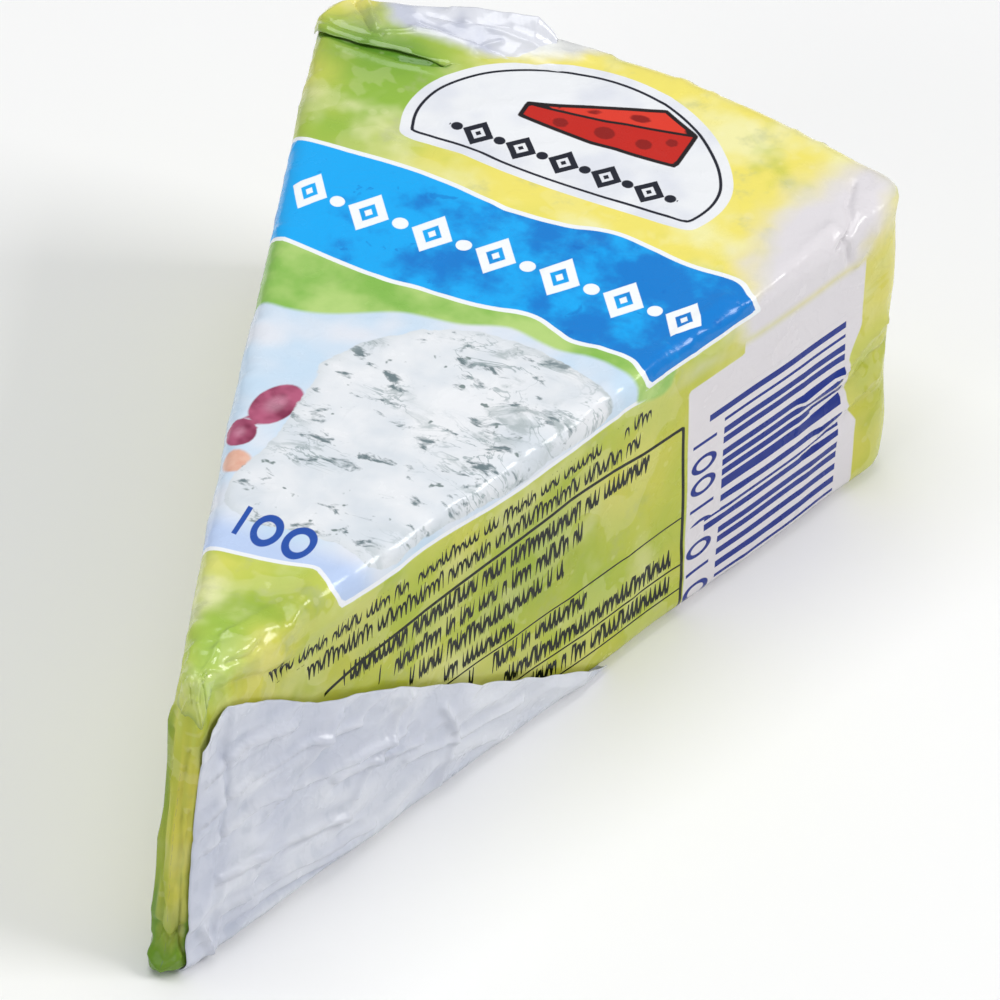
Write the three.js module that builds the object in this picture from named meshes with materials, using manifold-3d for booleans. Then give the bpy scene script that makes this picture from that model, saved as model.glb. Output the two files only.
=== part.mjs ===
// A wedge of cheese in a sheet of printed film. Millimetres, +Z up.
// The wedge lies on one of its cut faces: the nose points to -Y and the curved rind side to +Y.
// The origin is in the middle of the footprint, on the resting face.

import * as THREE from 'three';
import { mergeVertices } from 'three/addons/utils/BufferGeometryUtils.js';
import Module from 'manifold-3d';

// Overall size of the wrapped wedge
const LENGTH = 100;
const WIDTH = 58.4;
const HEIGHT = 33.7;

// Roundings in plan, seen from above
const NOSE_RADIUS = 2;
const REAR_CORNER_RADIUS = 4;
const RIND_RADIUS = 86;

// Rounding of the long edges between the cut faces and the sides, and how far the foot of the
// nose stands out past its top
const EDGE_RADIUS = 1.7;
const NOSE_LEAN = 3;

// The sheet: one wall of film with its creases, the air under a lap, and the cheese's clearance
const FILM = 0.4;
const LAP_LIFT = 0.3;
const CLEARANCE = 0.3;

// The side lap: the sheet's plain end, brought up from below over the +X side, as a triangle
const SIDE_LAP_START = 1;
const SIDE_LAP_END = 57;
const SIDE_LAP_TOP = HEIGHT - 5.2;
const SIDE_LAP_CORNER = 1.5;
const SIDE_HEM = 3;

// The rear lap: the top of the sheet, folded down over the rind side, as a trapezium
const REAR_LAP_TOP_HALF_WIDTH = 23;
const REAR_LAP_FOOT_HALF_WIDTH = 11;
const REAR_LAP_FOOT = 9;
const REAR_HEM = 3;

// The slots under the laps, where the sheet's inner end stops short
const SLOT_HEIGHT = 1.2;
const SIDE_SLOT_START = 10;
const SIDE_SLOT_END = 44;
const REAR_SLOT_HALF_WIDTH = 10;

// Fineness of the roundings, and how far a cutting shape runs past what it cuts
const ARC_STEPS = 4;
const EDGE_STEPS = 3;
const OVERSHOOT = 1;
const REAR_DEPTH = 6;

const wasm = await Module();
wasm.setup();

// How far a lap stands out, and the rear end of the wall under the rear lap
const lapThickness = LAP_LIFT + FILM;
const bodyRear = LENGTH / 2 - lapThickness;

// Centres of the plan's arcs
const noseY = -LENGTH / 2 + NOSE_RADIUS;
const rindY = bodyRear - RIND_RADIUS;
const cornerX = WIDTH / 2 - REAR_CORNER_RADIUS;
const cornerY = rindY + Math.sqrt((RIND_RADIUS - REAR_CORNER_RADIUS) ** 2 - cornerX ** 2);

// Angles, seen from above: of the +X side's outward normal, and of the rind arc's end
const noseToCorner = Math.hypot(cornerX, cornerY - noseY);
const sideAngle =
  Math.atan2(cornerY - noseY, cornerX) -
  Math.acos((NOSE_RADIUS - REAR_CORNER_RADIUS) / noseToCorner);
const rindAngle = Math.atan2(cornerY - rindY, cornerX);

// The wedge's outline in plan, grown outward by an even distance
function planOutline(grow) {
  const outline = new THREE.Shape();
  const corner = REAR_CORNER_RADIUS + grow;
  outline.absarc(0, noseY, NOSE_RADIUS + grow, Math.PI - sideAngle, 2 * Math.PI + sideAngle, false);
  outline.absarc(cornerX, cornerY, corner, sideAngle, rindAngle, false);
  outline.absarc(0, rindY, RIND_RADIUS + grow, rindAngle, Math.PI - rindAngle, false);
  outline.absarc(-cornerX, cornerY, corner, Math.PI - rindAngle, Math.PI - sideAngle, false);
  return outline;
}

// Draws the nose back towards its top, less and less towards the rear
function leanNose(geometry) {
  const place = geometry.attributes.position;
  for (let i = 0; i < place.count; i++) {
    const toNose = Math.max(0, 0.5 - place.getY(i) / LENGTH);
    const toTop = place.getZ(i) / HEIGHT;
    place.setY(i, place.getY(i) + NOSE_LEAN * toNose ** 2 * toTop);
  }
  return geometry;
}

// A wedge with rounded long edges, between two heights
function wedgeBlock(grow, bottom, top, edgeRadius) {
  const geometry = new THREE.ExtrudeGeometry(planOutline(grow), {
    depth: top - bottom - 2 * edgeRadius,
    curveSegments: ARC_STEPS,
    bevelEnabled: true,
    bevelThickness: edgeRadius,
    bevelSize: edgeRadius,
    bevelOffset: -edgeRadius,
    bevelSegments: EDGE_STEPS,
  });
  geometry.translate(0, 0, bottom + edgeRadius);
  return leanNose(geometry);
}

function toSolid(geometry) {
  const bare = geometry.clone();
  bare.deleteAttribute('normal');
  bare.deleteAttribute('uv');
  const merged = mergeVertices(bare, 1e-5);
  const vertProperties = new Float32Array(merged.attributes.position.array);
  const triVerts = new Uint32Array(merged.index.array);
  return new wasm.Manifold(new wasm.Mesh({ numProp: 3, vertProperties, triVerts }));
}

function toGeometry(solid) {
  const mesh = solid.getMesh();
  const geometry = new THREE.BufferGeometry();
  geometry.setAttribute('position', new THREE.BufferAttribute(mesh.vertProperties, 3));
  geometry.setIndex(new THREE.BufferAttribute(mesh.triVerts, 1));
  geometry.computeVertexNormals();
  return geometry;
}

// A flat shape, drawn as distance along the +X side from the nose and height, made into a solid
// that crosses that side's wall but not the nose
function sideRegion(shape) {
  const outward = new THREE.Vector3(Math.cos(sideAngle), Math.sin(sideAngle), 0);
  const up = new THREE.Vector3(0, 0, 1);
  const along = new THREE.Vector3().crossVectors(up, outward);
  const start = new THREE.Vector3(0, noseY, 0).addScaledVector(outward, NOSE_RADIUS / 2);
  const geometry = new THREE.ExtrudeGeometry(shape, {
    depth: NOSE_RADIUS,
    curveSegments: ARC_STEPS,
    bevelEnabled: false,
  });
  const frame = new THREE.Matrix4().makeBasis(along, up, outward).setPosition(start);
  return toSolid(geometry.applyMatrix4(frame));
}

// A flat shape, drawn as width and height, made into a solid that crosses the rind side's wall
function rearRegion(shape) {
  const geometry = new THREE.ExtrudeGeometry(shape, { depth: 2 * REAR_DEPTH, bevelEnabled: false });
  geometry.rotateX(Math.PI / 2);
  return toSolid(geometry.translate(0, bodyRear + REAR_DEPTH, 0));
}

function polygon(corners) {
  return new THREE.Shape(corners.map(([x, y]) => new THREE.Vector2(x, y)));
}

function rectangle(left, right, bottom, top) {
  return polygon([
    [left, bottom],
    [right, bottom],
    [right, top],
    [left, top],
  ]);
}

// The side lap's triangle, grown outward and cut off level above a foot height
function sideLapShape(grow, foot) {
  const left = SIDE_LAP_START - grow;
  const top = SIDE_LAP_TOP + grow;
  const right = SIDE_LAP_END + 2 * grow;
  const slope = (top - SIDE_LAP_CORNER / 2) / (right - left - SIDE_LAP_CORNER);
  const shape = new THREE.Shape();
  shape.moveTo(left, foot);
  shape.lineTo(right - (foot + OVERSHOOT) / slope, foot);
  shape.lineTo(left + SIDE_LAP_CORNER, top - SIDE_LAP_CORNER / 2);
  shape.quadraticCurveTo(left, top, left, top - 2 * SIDE_LAP_CORNER);
  shape.closePath();
  return shape;
}

// The rear lap's trapezium, grown outward and cut off level under a head height
function rearLapShape(grow, head) {
  return polygon([
    [-REAR_LAP_FOOT_HALF_WIDTH - grow, REAR_LAP_FOOT - grow],
    [REAR_LAP_FOOT_HALF_WIDTH + grow, REAR_LAP_FOOT - grow],
    [REAR_LAP_TOP_HALF_WIDTH + grow, head],
    [-REAR_LAP_TOP_HALF_WIDTH - grow, head],
  ]);
}

// The printed sheet round the cheese: a thin closed sleeve whose two laps lie a little clear of
// the wall below them, with a slot under each lap that leads to the inside
function filmWrap() {
  const outside = toSolid(wedgeBlock(0, 0, HEIGHT, EDGE_RADIUS));
  const inside = toSolid(wedgeBlock(-FILM, FILM, HEIGHT - FILM, EDGE_RADIUS - FILM));
  const lapTop = toSolid(wedgeBlock(lapThickness, 0, HEIGHT, EDGE_RADIUS));
  const lapAir = toSolid(wedgeBlock(LAP_LIFT, 0, HEIGHT, EDGE_RADIUS)).subtract(outside);
  const slotReach = toSolid(wedgeBlock(LAP_LIFT / 2, 0, HEIGHT, EDGE_RADIUS));

  const sideLap = lapTop.intersect(sideRegion(sideLapShape(0, 0)));
  const sideAir = lapAir.intersect(sideRegion(sideLapShape(OVERSHOOT, SIDE_HEM)));
  const sideSlot = slotReach.intersect(
    sideRegion(rectangle(SIDE_SLOT_START, SIDE_SLOT_END, SIDE_HEM, SIDE_HEM + SLOT_HEIGHT)),
  );

  const rearHead = HEIGHT - REAR_HEM;
  const rearLap = lapTop.intersect(rearRegion(rearLapShape(0, HEIGHT)));
  const rearAir = lapAir.intersect(rearRegion(rearLapShape(OVERSHOOT, rearHead)));
  const rearSlot = slotReach.intersect(
    rearRegion(
      rectangle(-REAR_SLOT_HALF_WIDTH, REAR_SLOT_HALF_WIDTH, rearHead - SLOT_HEIGHT, rearHead),
    ),
  );

  return outside
    .add(sideLap)
    .add(rearLap)
    .subtract(inside)
    .subtract(sideAir)
    .subtract(sideSlot)
    .subtract(rearAir)
    .subtract(rearSlot);
}

function cheeseBlock() {
  const inset = FILM + CLEARANCE;
  return wedgeBlock(-inset, inset, HEIGHT - inset, EDGE_RADIUS - inset);
}

const cheeseFinish = new THREE.MeshStandardMaterial({
  color: 0xeae4cf,
  roughness: 0.6,
  metalness: 0,
});
const filmFinish = new THREE.MeshStandardMaterial({
  color: 0xd5dc8a,
  roughness: 0.25,
  metalness: 0,
});

const cheese = new THREE.Mesh(cheeseBlock(), cheeseFinish);
cheese.name = 'cheese_wedge';

const wrap = new THREE.Mesh(toGeometry(filmWrap()), filmFinish);
wrap.name = 'printed_wrap';

const wrappedWedge = new THREE.Group();
wrappedWedge.add(cheese, wrap);

export default wrappedWedge;
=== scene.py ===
"""A wedge of blue cheese in a sheet of printed film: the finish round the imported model.

Shapes are worked out in millimetres, in the model's own frame, and scaled to metres at the end.
The sheet is laid out flat first: the top face keeps its plan, and each side hinges out about its
top edge. Print and creases are placed on that flat sheet.
"""

import math
from functools import partialmethod

import bmesh
import bpy
import numpy as np
from mathutils import Matrix, Vector


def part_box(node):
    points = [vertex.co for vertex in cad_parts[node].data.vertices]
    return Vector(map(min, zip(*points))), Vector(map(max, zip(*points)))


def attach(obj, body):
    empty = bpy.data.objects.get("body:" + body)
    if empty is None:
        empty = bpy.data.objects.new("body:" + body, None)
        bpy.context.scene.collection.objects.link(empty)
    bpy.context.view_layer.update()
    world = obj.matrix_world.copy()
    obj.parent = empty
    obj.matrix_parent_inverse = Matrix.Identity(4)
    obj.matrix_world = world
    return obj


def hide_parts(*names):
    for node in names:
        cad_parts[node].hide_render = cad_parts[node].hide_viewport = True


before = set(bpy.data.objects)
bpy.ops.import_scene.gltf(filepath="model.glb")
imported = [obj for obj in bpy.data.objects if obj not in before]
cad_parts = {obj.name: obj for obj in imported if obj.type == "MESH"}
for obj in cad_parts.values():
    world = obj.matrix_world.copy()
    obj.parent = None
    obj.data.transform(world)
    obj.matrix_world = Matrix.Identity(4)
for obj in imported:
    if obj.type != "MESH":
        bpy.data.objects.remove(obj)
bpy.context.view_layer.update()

MM = 0.001
wrap_high = np.array(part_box("printed_wrap")[1]) / MM

# ---------------------------------------------------------------- the wedge's plan, as in the CAD
NOSE_RADIUS = 2.0
CORNER_RADIUS = 4.0
RIND_RADIUS = 86.0
EDGE_RADIUS = 1.7
NOSE_LEAN = 3.0
LAP_THICKNESS = 0.7

HEIGHT = wrap_high[2]
LENGTH = 2 * wrap_high[1]
HALF_WIDTH = wrap_high[0]
REAR_Y = wrap_high[1] - LAP_THICKNESS
NOSE_Y = NOSE_RADIUS - LENGTH / 2
RIND_Y = REAR_Y - RIND_RADIUS
CORNER_X = HALF_WIDTH - CORNER_RADIUS
CORNER_Y = RIND_Y + math.sqrt((RIND_RADIUS - CORNER_RADIUS) ** 2 - CORNER_X ** 2)

CENTRES_APART = math.hypot(CORNER_X, CORNER_Y - NOSE_Y)
TANGENT_TURN = math.acos((NOSE_RADIUS - CORNER_RADIUS) / CENTRES_APART)
SIDE_ANGLE = math.atan2(CORNER_Y - NOSE_Y, CORNER_X) - TANGENT_TURN
SIDE_RUN = CENTRES_APART * math.sin(TANGENT_TURN)
RIND_ANGLE = math.atan2(CORNER_Y - RIND_Y, CORNER_X)
CORNER_RUN = CORNER_RADIUS * (RIND_ANGLE - SIDE_ANGLE)


def directions(angles):
    return np.stack([np.cos(angles), np.sin(angles)], axis=-1)


class Wall:
    """One half of the wall round the wedge: from the nose along a side to the rind's middle.

    A run of 0 is where the side leaves the rounded nose. The side's outward direction, the way
    along it and its start are those of the +X half; the other half mirrors them.
    """

    out = directions(SIDE_ANGLE)
    along = directions(SIDE_ANGLE + math.pi / 2)
    start = np.array([0.0, NOSE_Y]) + out * NOSE_RADIUS

    def __init__(self, mirror):
        self.mirror = np.array([mirror, 1.0])

    def on_sheet(self, run, drop):
        """The flat sheet's place for a run along the wall and a drop below its top edge."""
        run, drop = np.broadcast_arrays(np.asarray(run, float), np.asarray(drop, float))
        return (self.start + run[..., None] * self.along + drop[..., None] * self.out) * self.mirror

    def locate(self, points):
        """Each point's run round the wall, and how far it stands out from it."""
        plan = points[:, :2] * self.mirror
        side = plan - self.start
        nose = plan - (0.0, NOSE_Y)
        corner = plan - (CORNER_X, CORNER_Y)
        rind = plan - (0.0, RIND_Y)
        corner_angle = np.arctan2(corner[:, 1], corner[:, 0])
        rind_angle = np.arctan2(rind[:, 1], rind[:, 0])
        at_nose = side @ self.along < 0
        past_side = side @ self.along > SIDE_RUN
        past_corner = past_side & (rind_angle > RIND_ANGLE)
        places = [at_nose, past_corner, past_side]
        nose_turn = np.arctan2(nose[:, 1], nose[:, 0]) - SIDE_ANGLE
        run = np.select(
            places,
            [
                NOSE_RADIUS * nose_turn,
                SIDE_RUN + CORNER_RUN + RIND_RADIUS * (rind_angle - RIND_ANGLE),
                SIDE_RUN + CORNER_RADIUS * (corner_angle - SIDE_ANGLE),
            ],
            side @ self.along,
        )
        proud = np.select(
            places,
            [
                np.linalg.norm(nose, axis=1) - NOSE_RADIUS,
                np.linalg.norm(rind, axis=1) - RIND_RADIUS,
                np.linalg.norm(corner, axis=1) - CORNER_RADIUS,
            ],
            side @ self.out,
        )
        return run, proud

    def plan_at(self, run):
        """The wall's plan and outward direction at each run, on the +X half."""
        corner_turn = SIDE_ANGLE + (run - SIDE_RUN) / CORNER_RADIUS
        rind_turn = RIND_ANGLE + (run - SIDE_RUN - CORNER_RUN) / RIND_RADIUS
        places = [run < 0, run > SIDE_RUN + CORNER_RUN, run > SIDE_RUN]
        turns = [SIDE_ANGLE + run / NOSE_RADIUS, rind_turn, corner_turn]
        out = directions(np.select(places, turns, SIDE_ANGLE))
        centres = [(0.0, NOSE_Y), (0.0, RIND_Y), (CORNER_X, CORNER_Y)]
        radii = [NOSE_RADIUS, RIND_RADIUS, CORNER_RADIUS]
        plan = self.start + run[..., None] * self.along
        for place, centre, radius in reversed(list(zip(places, centres, radii))):
            plan = np.where(place[..., None], np.array(centre) + radius * out, plan)
        return plan, out

    def in_space(self, run, drop, lift):
        """Points a lift away from the wall; past its foot they turn in under it."""
        run, drop, lift = np.broadcast_arrays(run, drop, lift)
        plan, out = self.plan_at(run)
        turn = np.clip((drop - (HEIGHT - EDGE_RADIUS)) / EDGE_RADIUS, 0.0, math.pi / 2)
        reach = EDGE_RADIUS + lift
        plan = plan + (reach * np.cos(turn) - EDGE_RADIUS)[..., None] * out
        level = HEIGHT - np.minimum(drop, HEIGHT - EDGE_RADIUS) - reach * np.sin(turn)
        return np.concatenate([plan * self.mirror, level[..., None]], axis=-1)


RIGHT = Wall(1)
LEFT = Wall(-1)


def halves(points):
    """Each half of the wall, and which of the points are on it."""
    return (RIGHT, points[:, 0] >= 0), (LEFT, points[:, 0] < 0)


def drape(flat, lift):
    """Lays flat points over the wedge: the top keeps its plan, the rest goes down the wall."""
    points = np.empty((len(flat), 3))
    for wall, here in halves(flat):
        run, beyond = wall.locate(flat[here])
        _, out = wall.plan_at(run)
        turn = np.clip((beyond + EDGE_RADIUS) / (2 * EDGE_RADIUS), 0, 1) * math.pi / 2
        slope = np.column_stack([out * wall.mirror * np.sin(turn)[:, None], np.cos(turn)])
        past_edge = np.maximum(beyond + EDGE_RADIUS, 0)
        aside = EDGE_RADIUS * np.sin(turn) - past_edge
        below = np.maximum(beyond - EDGE_RADIUS, 0) + EDGE_RADIUS * (1 - np.cos(turn))
        plan = flat[here] + (aside[:, None] * out) * wall.mirror
        points[here] = np.column_stack([plan, HEIGHT - below]) + slope * lift[here, None]
    return points


def arc(centre, radius, start, end, steps):
    return np.array(centre) + radius * directions(np.linspace(start, end, steps))


def plan_outline(inset):
    """The wedge's outline from above, counter-clockwise, drawn in by an even distance."""
    left_angle = math.pi - SIDE_ANGLE
    rind_end = math.pi - RIND_ANGLE
    corner = CORNER_RADIUS - inset
    return np.concatenate(
        [
            arc((0, NOSE_Y), NOSE_RADIUS - inset, left_angle, 2 * math.pi + SIDE_ANGLE, 12),
            arc((CORNER_X, CORNER_Y), corner, SIDE_ANGLE, RIND_ANGLE, 12),
            arc((0, RIND_Y), RIND_RADIUS - inset, RIND_ANGLE, rind_end, 40),
            arc((-CORNER_X, CORNER_Y), corner, rind_end, left_angle, 12),
        ]
    )


def lean_nose(points):
    """Draws the nose back towards its top, less and less towards the rear."""
    leaned = points.copy()
    to_nose = np.clip(0.5 - points[..., 1] / LENGTH, 0, None)
    leaned[..., 1] += NOSE_LEAN * to_nose ** 2 * points[..., 2] / HEIGHT
    return leaned


# ---------------------------------------------------------------- noise, creases and outlines
class Noise:
    """Smooth random values over space, from -1 to 1, the same on every run."""

    def __init__(self, seed):
        source = np.random.RandomState(seed)
        self.order = np.tile(source.permutation(256), 2)
        slopes = source.normal(size=(256, 3))
        self.slopes = slopes / np.linalg.norm(slopes, axis=1)[:, None]

    def __call__(self, points, wave):
        """The value at each point, with humps about one wave apart."""
        places = np.asarray(points) / wave
        cell = np.floor(places).astype(int)
        part = places - cell
        fade = part ** 3 * (part * (part * 6 - 15) + 10)
        total = np.zeros(len(places))
        for corner in range(8):
            step = np.array([corner & 1, corner >> 1 & 1, corner >> 2 & 1])
            x, y, z = ((cell + step) & 255).T
            slope = self.slopes[self.order[self.order[self.order[x] + y] + z]]
            weight = np.where(step, fade, 1 - fade).prod(axis=1)
            total += weight * ((part - step) * slope).sum(axis=1)
        return total * 1.6


def distance_to_line(places, line):
    """How far each place is from a broken line."""
    nearest = np.full(len(places), np.inf)
    for start, end in zip(line[:-1], line[1:]):
        run = end - start
        part = np.clip((places - start) @ run / max(run @ run, 1e-9), 0, 1)
        away = places - start - part[:, None] * run
        nearest = np.minimum(nearest, np.sqrt((away ** 2).sum(axis=1)))
    return nearest


def crease(places, line, width, height):
    """A sharp-crested fold along a line: a tent that fades out over its width."""
    away = distance_to_line(places, np.array(line, float)) / width
    return height * np.exp(-away * (1 + 0.5 * away))


def smooth_line(corners, count):
    """An open curve through its corner points, at an even count of places."""
    corners = np.array(corners, float)
    spans = np.linspace(0, len(corners) - 1, count)
    first = np.minimum(spans.astype(int), len(corners) - 2)
    part = (spans - first)[:, None]
    ends = [np.clip(first + step, 0, len(corners) - 1) for step in (-1, 0, 1, 2)]
    before, start, end, after = [corners[end] for end in ends]
    return (
        2 * start
        + (end - before) * part
        + (2 * before - 5 * start + 4 * end - after) * part ** 2
        + (3 * start - before - 3 * end + after) * part ** 3
    ) / 2


def smooth_loop(corners, steps=8):
    """A closed curve through its corner points."""
    corners = np.array(corners, float)
    before, after = np.roll(corners, 1, 0), np.roll(corners, -1, 0)
    beyond = np.roll(corners, -2, 0)
    parts = np.linspace(0, 1, steps, endpoint=False)[:, None, None]
    curve = (
        2 * corners
        + (after - before) * parts
        + (2 * before - 5 * corners + 4 * after - beyond) * parts ** 2
        + (3 * corners - before - 3 * after + beyond) * parts ** 3
    ) / 2
    return curve.transpose(1, 0, 2).reshape(-1, 2)


def signed_distance(places, loop):
    """The distance to a closed loop, negative inside it."""
    closed = np.concatenate([loop, loop[:1]])
    away = distance_to_line(places, closed)
    inside = np.zeros(len(places), bool)
    for (x0, y0), (x1, y1) in zip(closed[:-1], closed[1:]):
        if y0 == y1:
            continue
        spans = (places[:, 1] < y0) != (places[:, 1] < y1)
        inside ^= spans & (places[:, 0] < x0 + (places[:, 1] - y0) * (x1 - x0) / (y1 - y0))
    return np.where(inside, -away, away)


# ---------------------------------------------------------------- the print, on the flat sheet
BAND = [
    (-31, 23.2), (-23.5, 24.3), (-18, 24.8), (-13, 25.1), (-8, 24.9), (-4, 24.3), (0, 24.1),
    (4, 24.4), (6.5, 25.2), (9, 25.6), (12, 25.3), (16, 24.7), (20, 24.8), (22, 24.4),
    (24, 23.1), (25.8, 23), (26.1, 22.6), (24.2, 16), (21.9, 8.6), (21.5, 8.1), (19, 8.5),
    (17, 9.6), (14, 9.8), (11, 9.5), (9, 10.2), (6.5, 11), (3, 10.3), (0, 9.9), (-4, 9.8),
    (-8, 9.4), (-15, 9.9), (-19.5, 10), (-26.5, 9), (-27.2, 9.4),
]
STRIP = [
    (-22, 0.4), (-17, 1.4), (-14, 1.6), (-10, 2.8), (-5, 5.8), (-2, 6.6), (1, 7.1), (4, 8.4),
    (6, 8.8), (10, 8), (14, 8.5), (17, 8), (20.3, 7.2), (22.4, 6.9), (23, 12), (0, 14),
    (-26, 13),
]
PICTURE = [
    (-22.5, 6), (-8, 9), (8, 10), (22, 9), (21.6, 5), (20.2, -1), (18.8, -6), (17.6, -10),
    (15.8, -15), (13.8, -20), (12.6, -24), (11.4, -28), (10, -32), (9.6, -32.4), (7, -32.3),
    (5, -31.2), (4, -30.6), (2, -31), (-2, -31.8), (-7, -32.6), (-12, -33.4), (-12.6, -32.8),
    (-16.5, -18), (-20.5, -4),
]
PLATE = [
    (-14.3, 28.8), (-15.6, 30.5), (-16.1, 33.5), (-15.4, 37), (-13.2, 40.3), (-10.3, 42.7),
    (-6.5, 44.6), (-1, 45.7), (5, 45), (9.5, 42.9), (13, 39.7), (15.2, 36.2), (15.7, 33),
    (14.9, 30), (13.6, 28.7), (9, 28.5), (2, 28.2), (-4, 28.4), (-9, 28.9),
]
SLAB = [
    (-7.5, -6), (-7.6, -3.5), (-5.6, 0.5), (-3, 3.5), (0, 5.8), (3.5, 7.1), (8, 7.2),
    (12.5, 6.3), (16.5, 5), (19.6, 3.6), (20.3, 1.8), (19.6, -1), (18.3, -4), (17.2, -9),
    (15.2, -14), (13, -18.5), (11.8, -22), (11, -26), (8.5, -27.4), (4, -26.5), (-1, -26.8),
    (-5, -27.3), (-7.8, -26), (-8.8, -22), (-7.4, -17), (-7.2, -12),
]
REAR_WHITE = [
    (-25, 47.5), (-23.6, 44.6), (-21.6, 42.6), (-17, 42.3), (-12, 43), (-8, 44.6), (-4, 47.4),
    (-2, 54), (-14, 56), (-26, 54),
]
MARGIN = [
    *RIGHT.on_sheet([73.6, 73.7, 66.3, 66.2, 67.2], [1, 6.4, 6.5, 6.9, 37]),
    *RIGHT.on_sheet([90.6, 90.4, 88.9, 88.6, 90.2, 90.4], [37, 24.5, 22, 16, 13, 3]),
    (28.4, 43.4), (25.6, 44), (23, 41), (21.6, 36), (20.8, 31.5), (22, 27.6), (24, 24.8),
]

# The little wedge on the plate: its outline, its upper face and its holes
MOTIF = [(-6.3, 36.4), (-6.3, 38.2), (5.4, 43), (9.2, 41.2), (9.2, 36.6), (1, 35.9)]
MOTIF_TOP = [(-6.3, 38.2), (5.4, 43), (9.2, 41.2), (1, 39.2)]
MOTIF_HOLES = [
    (-2.6, 37.2, 0.75, 0.65, 0), (1.6, 37.7, 1.0, 0.85, 0), (5.4, 38, 0.8, 0.7, 0),
    (7.6, 39.4, 0.6, 0.55, 0), (3.7, 41, 1.0, 0.5, 0.2), (-0.4, 39.9, 0.7, 0.3, 0.3),
]

# Fruit beside the pictured cheese: centre, half-lengths and tilt of each
BERRIES = [(-9.1, -11.3, 2.1, 3.5, -0.3), (-10.9, -16.4, 1.9, 1.9, 0.0)]
FRUIT_FLESH = [(-9.6, -20.2, 1.9, 1.6, 0.2)]

# Where the green ground turns yellow: centre, reach and strength of each spot
SUN_SPOTS = [
    (20, 40, 14, 0.6), (5, 48, 16, 0.5), (16, 29, 8, 0.35), (-3, 27, 10, 0.3),
    (-26, 34, 4, 0.2), (-16, 36, 7, -0.45), (-20, 28, 6, -0.25), (-25, 38, 6, -0.3),
    (16, -54, 7, 0.4), (26, -57, 8, 0.6), (7, -42, 5, 0.45), (-28, 44, 4, 0.4),
    (-14, 6, 14, -0.6), (-4, -35, 5, 0.15), (2, -42, 8, -0.45), (7, -36, 6, 0.05),
    (22, -6, 8, -0.1), (38, -2, 9, -0.1), (33, 4, 5, 0.3), (28, 0, 4, 0.25),
    (30, 20, 6, 0.2), (35, 37, 6, 0.6), (56, 32, 6, 0.1),
]

# Where the green is deeper, or paler: centre, reach and strength of each spot.
# The two spots in front of the rear fold's edge and the one in the nose's hollow are painted shade.
DEEP_AND_SHADED_SPOTS = [
    (0, -50, -1, 7.5, 1.1), (-1.5, -50, 9, 5, 0.15), (2, -49, 20, 6, 0.05), (-2, -49, 27, 5, 0.1),
    (2, -46, 31, 3, -0.5), (-24, 39, 33.7, 3.5, 0.5), (-19, 39, 33.7, 3, 0.5),
    (-29, 30, 20, 12, 0.3), (10, -30, 24, 7, 0.25), (28, 44, 10, 5, 0.3), (16, -6, 20, 9, 0.3),
    (5, -36, 33, 3.5, 0.25), (3.4, -43.8, 30.4, 1.9, 0.55), (6, -40, 32.6, 1.4, 0.35),
]


def ellipse_distance(places, ellipses):
    """A rough signed distance to the nearest of some tilted ellipses."""
    nearest = np.full(len(places), np.inf)
    for x, y, half_x, half_y, tilt in ellipses:
        turn = np.array([[math.cos(tilt), -math.sin(tilt)], [math.sin(tilt), math.cos(tilt)]])
        local = (places - (x, y)) @ turn / (half_x, half_y)
        away = (np.linalg.norm(local, axis=1) - 1) * min(half_x, half_y)
        nearest = np.minimum(nearest, away)
    return nearest


def sun_at(flat):
    """How yellow the ground is at each place of the sheet."""
    sun = np.full(len(flat), 0.5)
    for x, y, reach, strength in SUN_SPOTS:
        away = ((flat - (x, y)) ** 2).sum(axis=1) / reach ** 2
        sun += strength * np.exp(-away)
    return np.clip(sun, 0, 1)


def shade_at(place):
    """How deep the ground's green is at each place of the wedge, painted shade included."""
    shade = np.zeros(len(place))
    for x, y, z, reach, strength in DEEP_AND_SHADED_SPOTS:
        away = ((place - (x, y, z)) ** 2).sum(axis=1) / reach ** 2
        shade += strength * np.exp(-away)
    return np.clip(shade, -1, 1)


def print_fields(flat):
    """What the inks read at each place of the sheet: distances to outlines, and tints."""
    fields = {
        "band": signed_distance(flat, smooth_loop(BAND, 5)),
        "strip": signed_distance(flat, smooth_loop(STRIP, 5)),
        "picture": signed_distance(flat, smooth_loop(PICTURE, 5)),
        "plate": signed_distance(flat, smooth_loop(PLATE, 6)),
        "slab": signed_distance(flat, smooth_loop(SLAB, 5)),
        "rear_white": signed_distance(flat, smooth_loop(REAR_WHITE, 5)),
        "margin": signed_distance(flat, np.array(MARGIN)),
        "berries": ellipse_distance(flat, BERRIES),
        "flesh": ellipse_distance(flat, FRUIT_FLESH),
    }
    fields["sun"] = sun_at(flat)
    fields["motif"] = signed_distance(flat, np.array(MOTIF, float))
    fields["motif_top"] = signed_distance(flat, np.array(MOTIF_TOP, float))
    fields["holes"] = ellipse_distance(flat, MOTIF_HOLES)
    return fields


# Rows of small print on the side: the drop of each row's middle, and its start and end runs
PRINT_ROWS = [
    (3.7, 0, 0), (5.8, 9, 61), (7.9, 14, 60), (11.5, 19, 61), (14.3, 24, 52), (17.2, 28, 49.5),
    (19.8, 33, 43), (22.7, 37, 53), (25.5, 42, 65), (28.6, 46, 65), (31.5, 0, 0), (34.4, 0, 0),
]
PRINT_ROW_HALF = 1.2
TABLE = [
    (15, 12.6), (17, 11.8), (21, 11), (30, 10.2), (40, 9.9), (50, 9.4), (56, 9.6), (60, 10.1),
    (65.6, 10.3), (66.1, 20), (66.7, 32), (66.7, 44), (15, 44),
]
MIRRORED_PRINT_SHIFT = 400.0
LEFT_PRINT_ROWS = [
    (5.8, 44, 82), (7.9, 44, 74), (11.5, 40, 82), (14.3, 40, 80), (17.2, 40, 83), (19.8, 40, 77),
    (22.7, 40, 81), (25.5, 40, 62),
]


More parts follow.
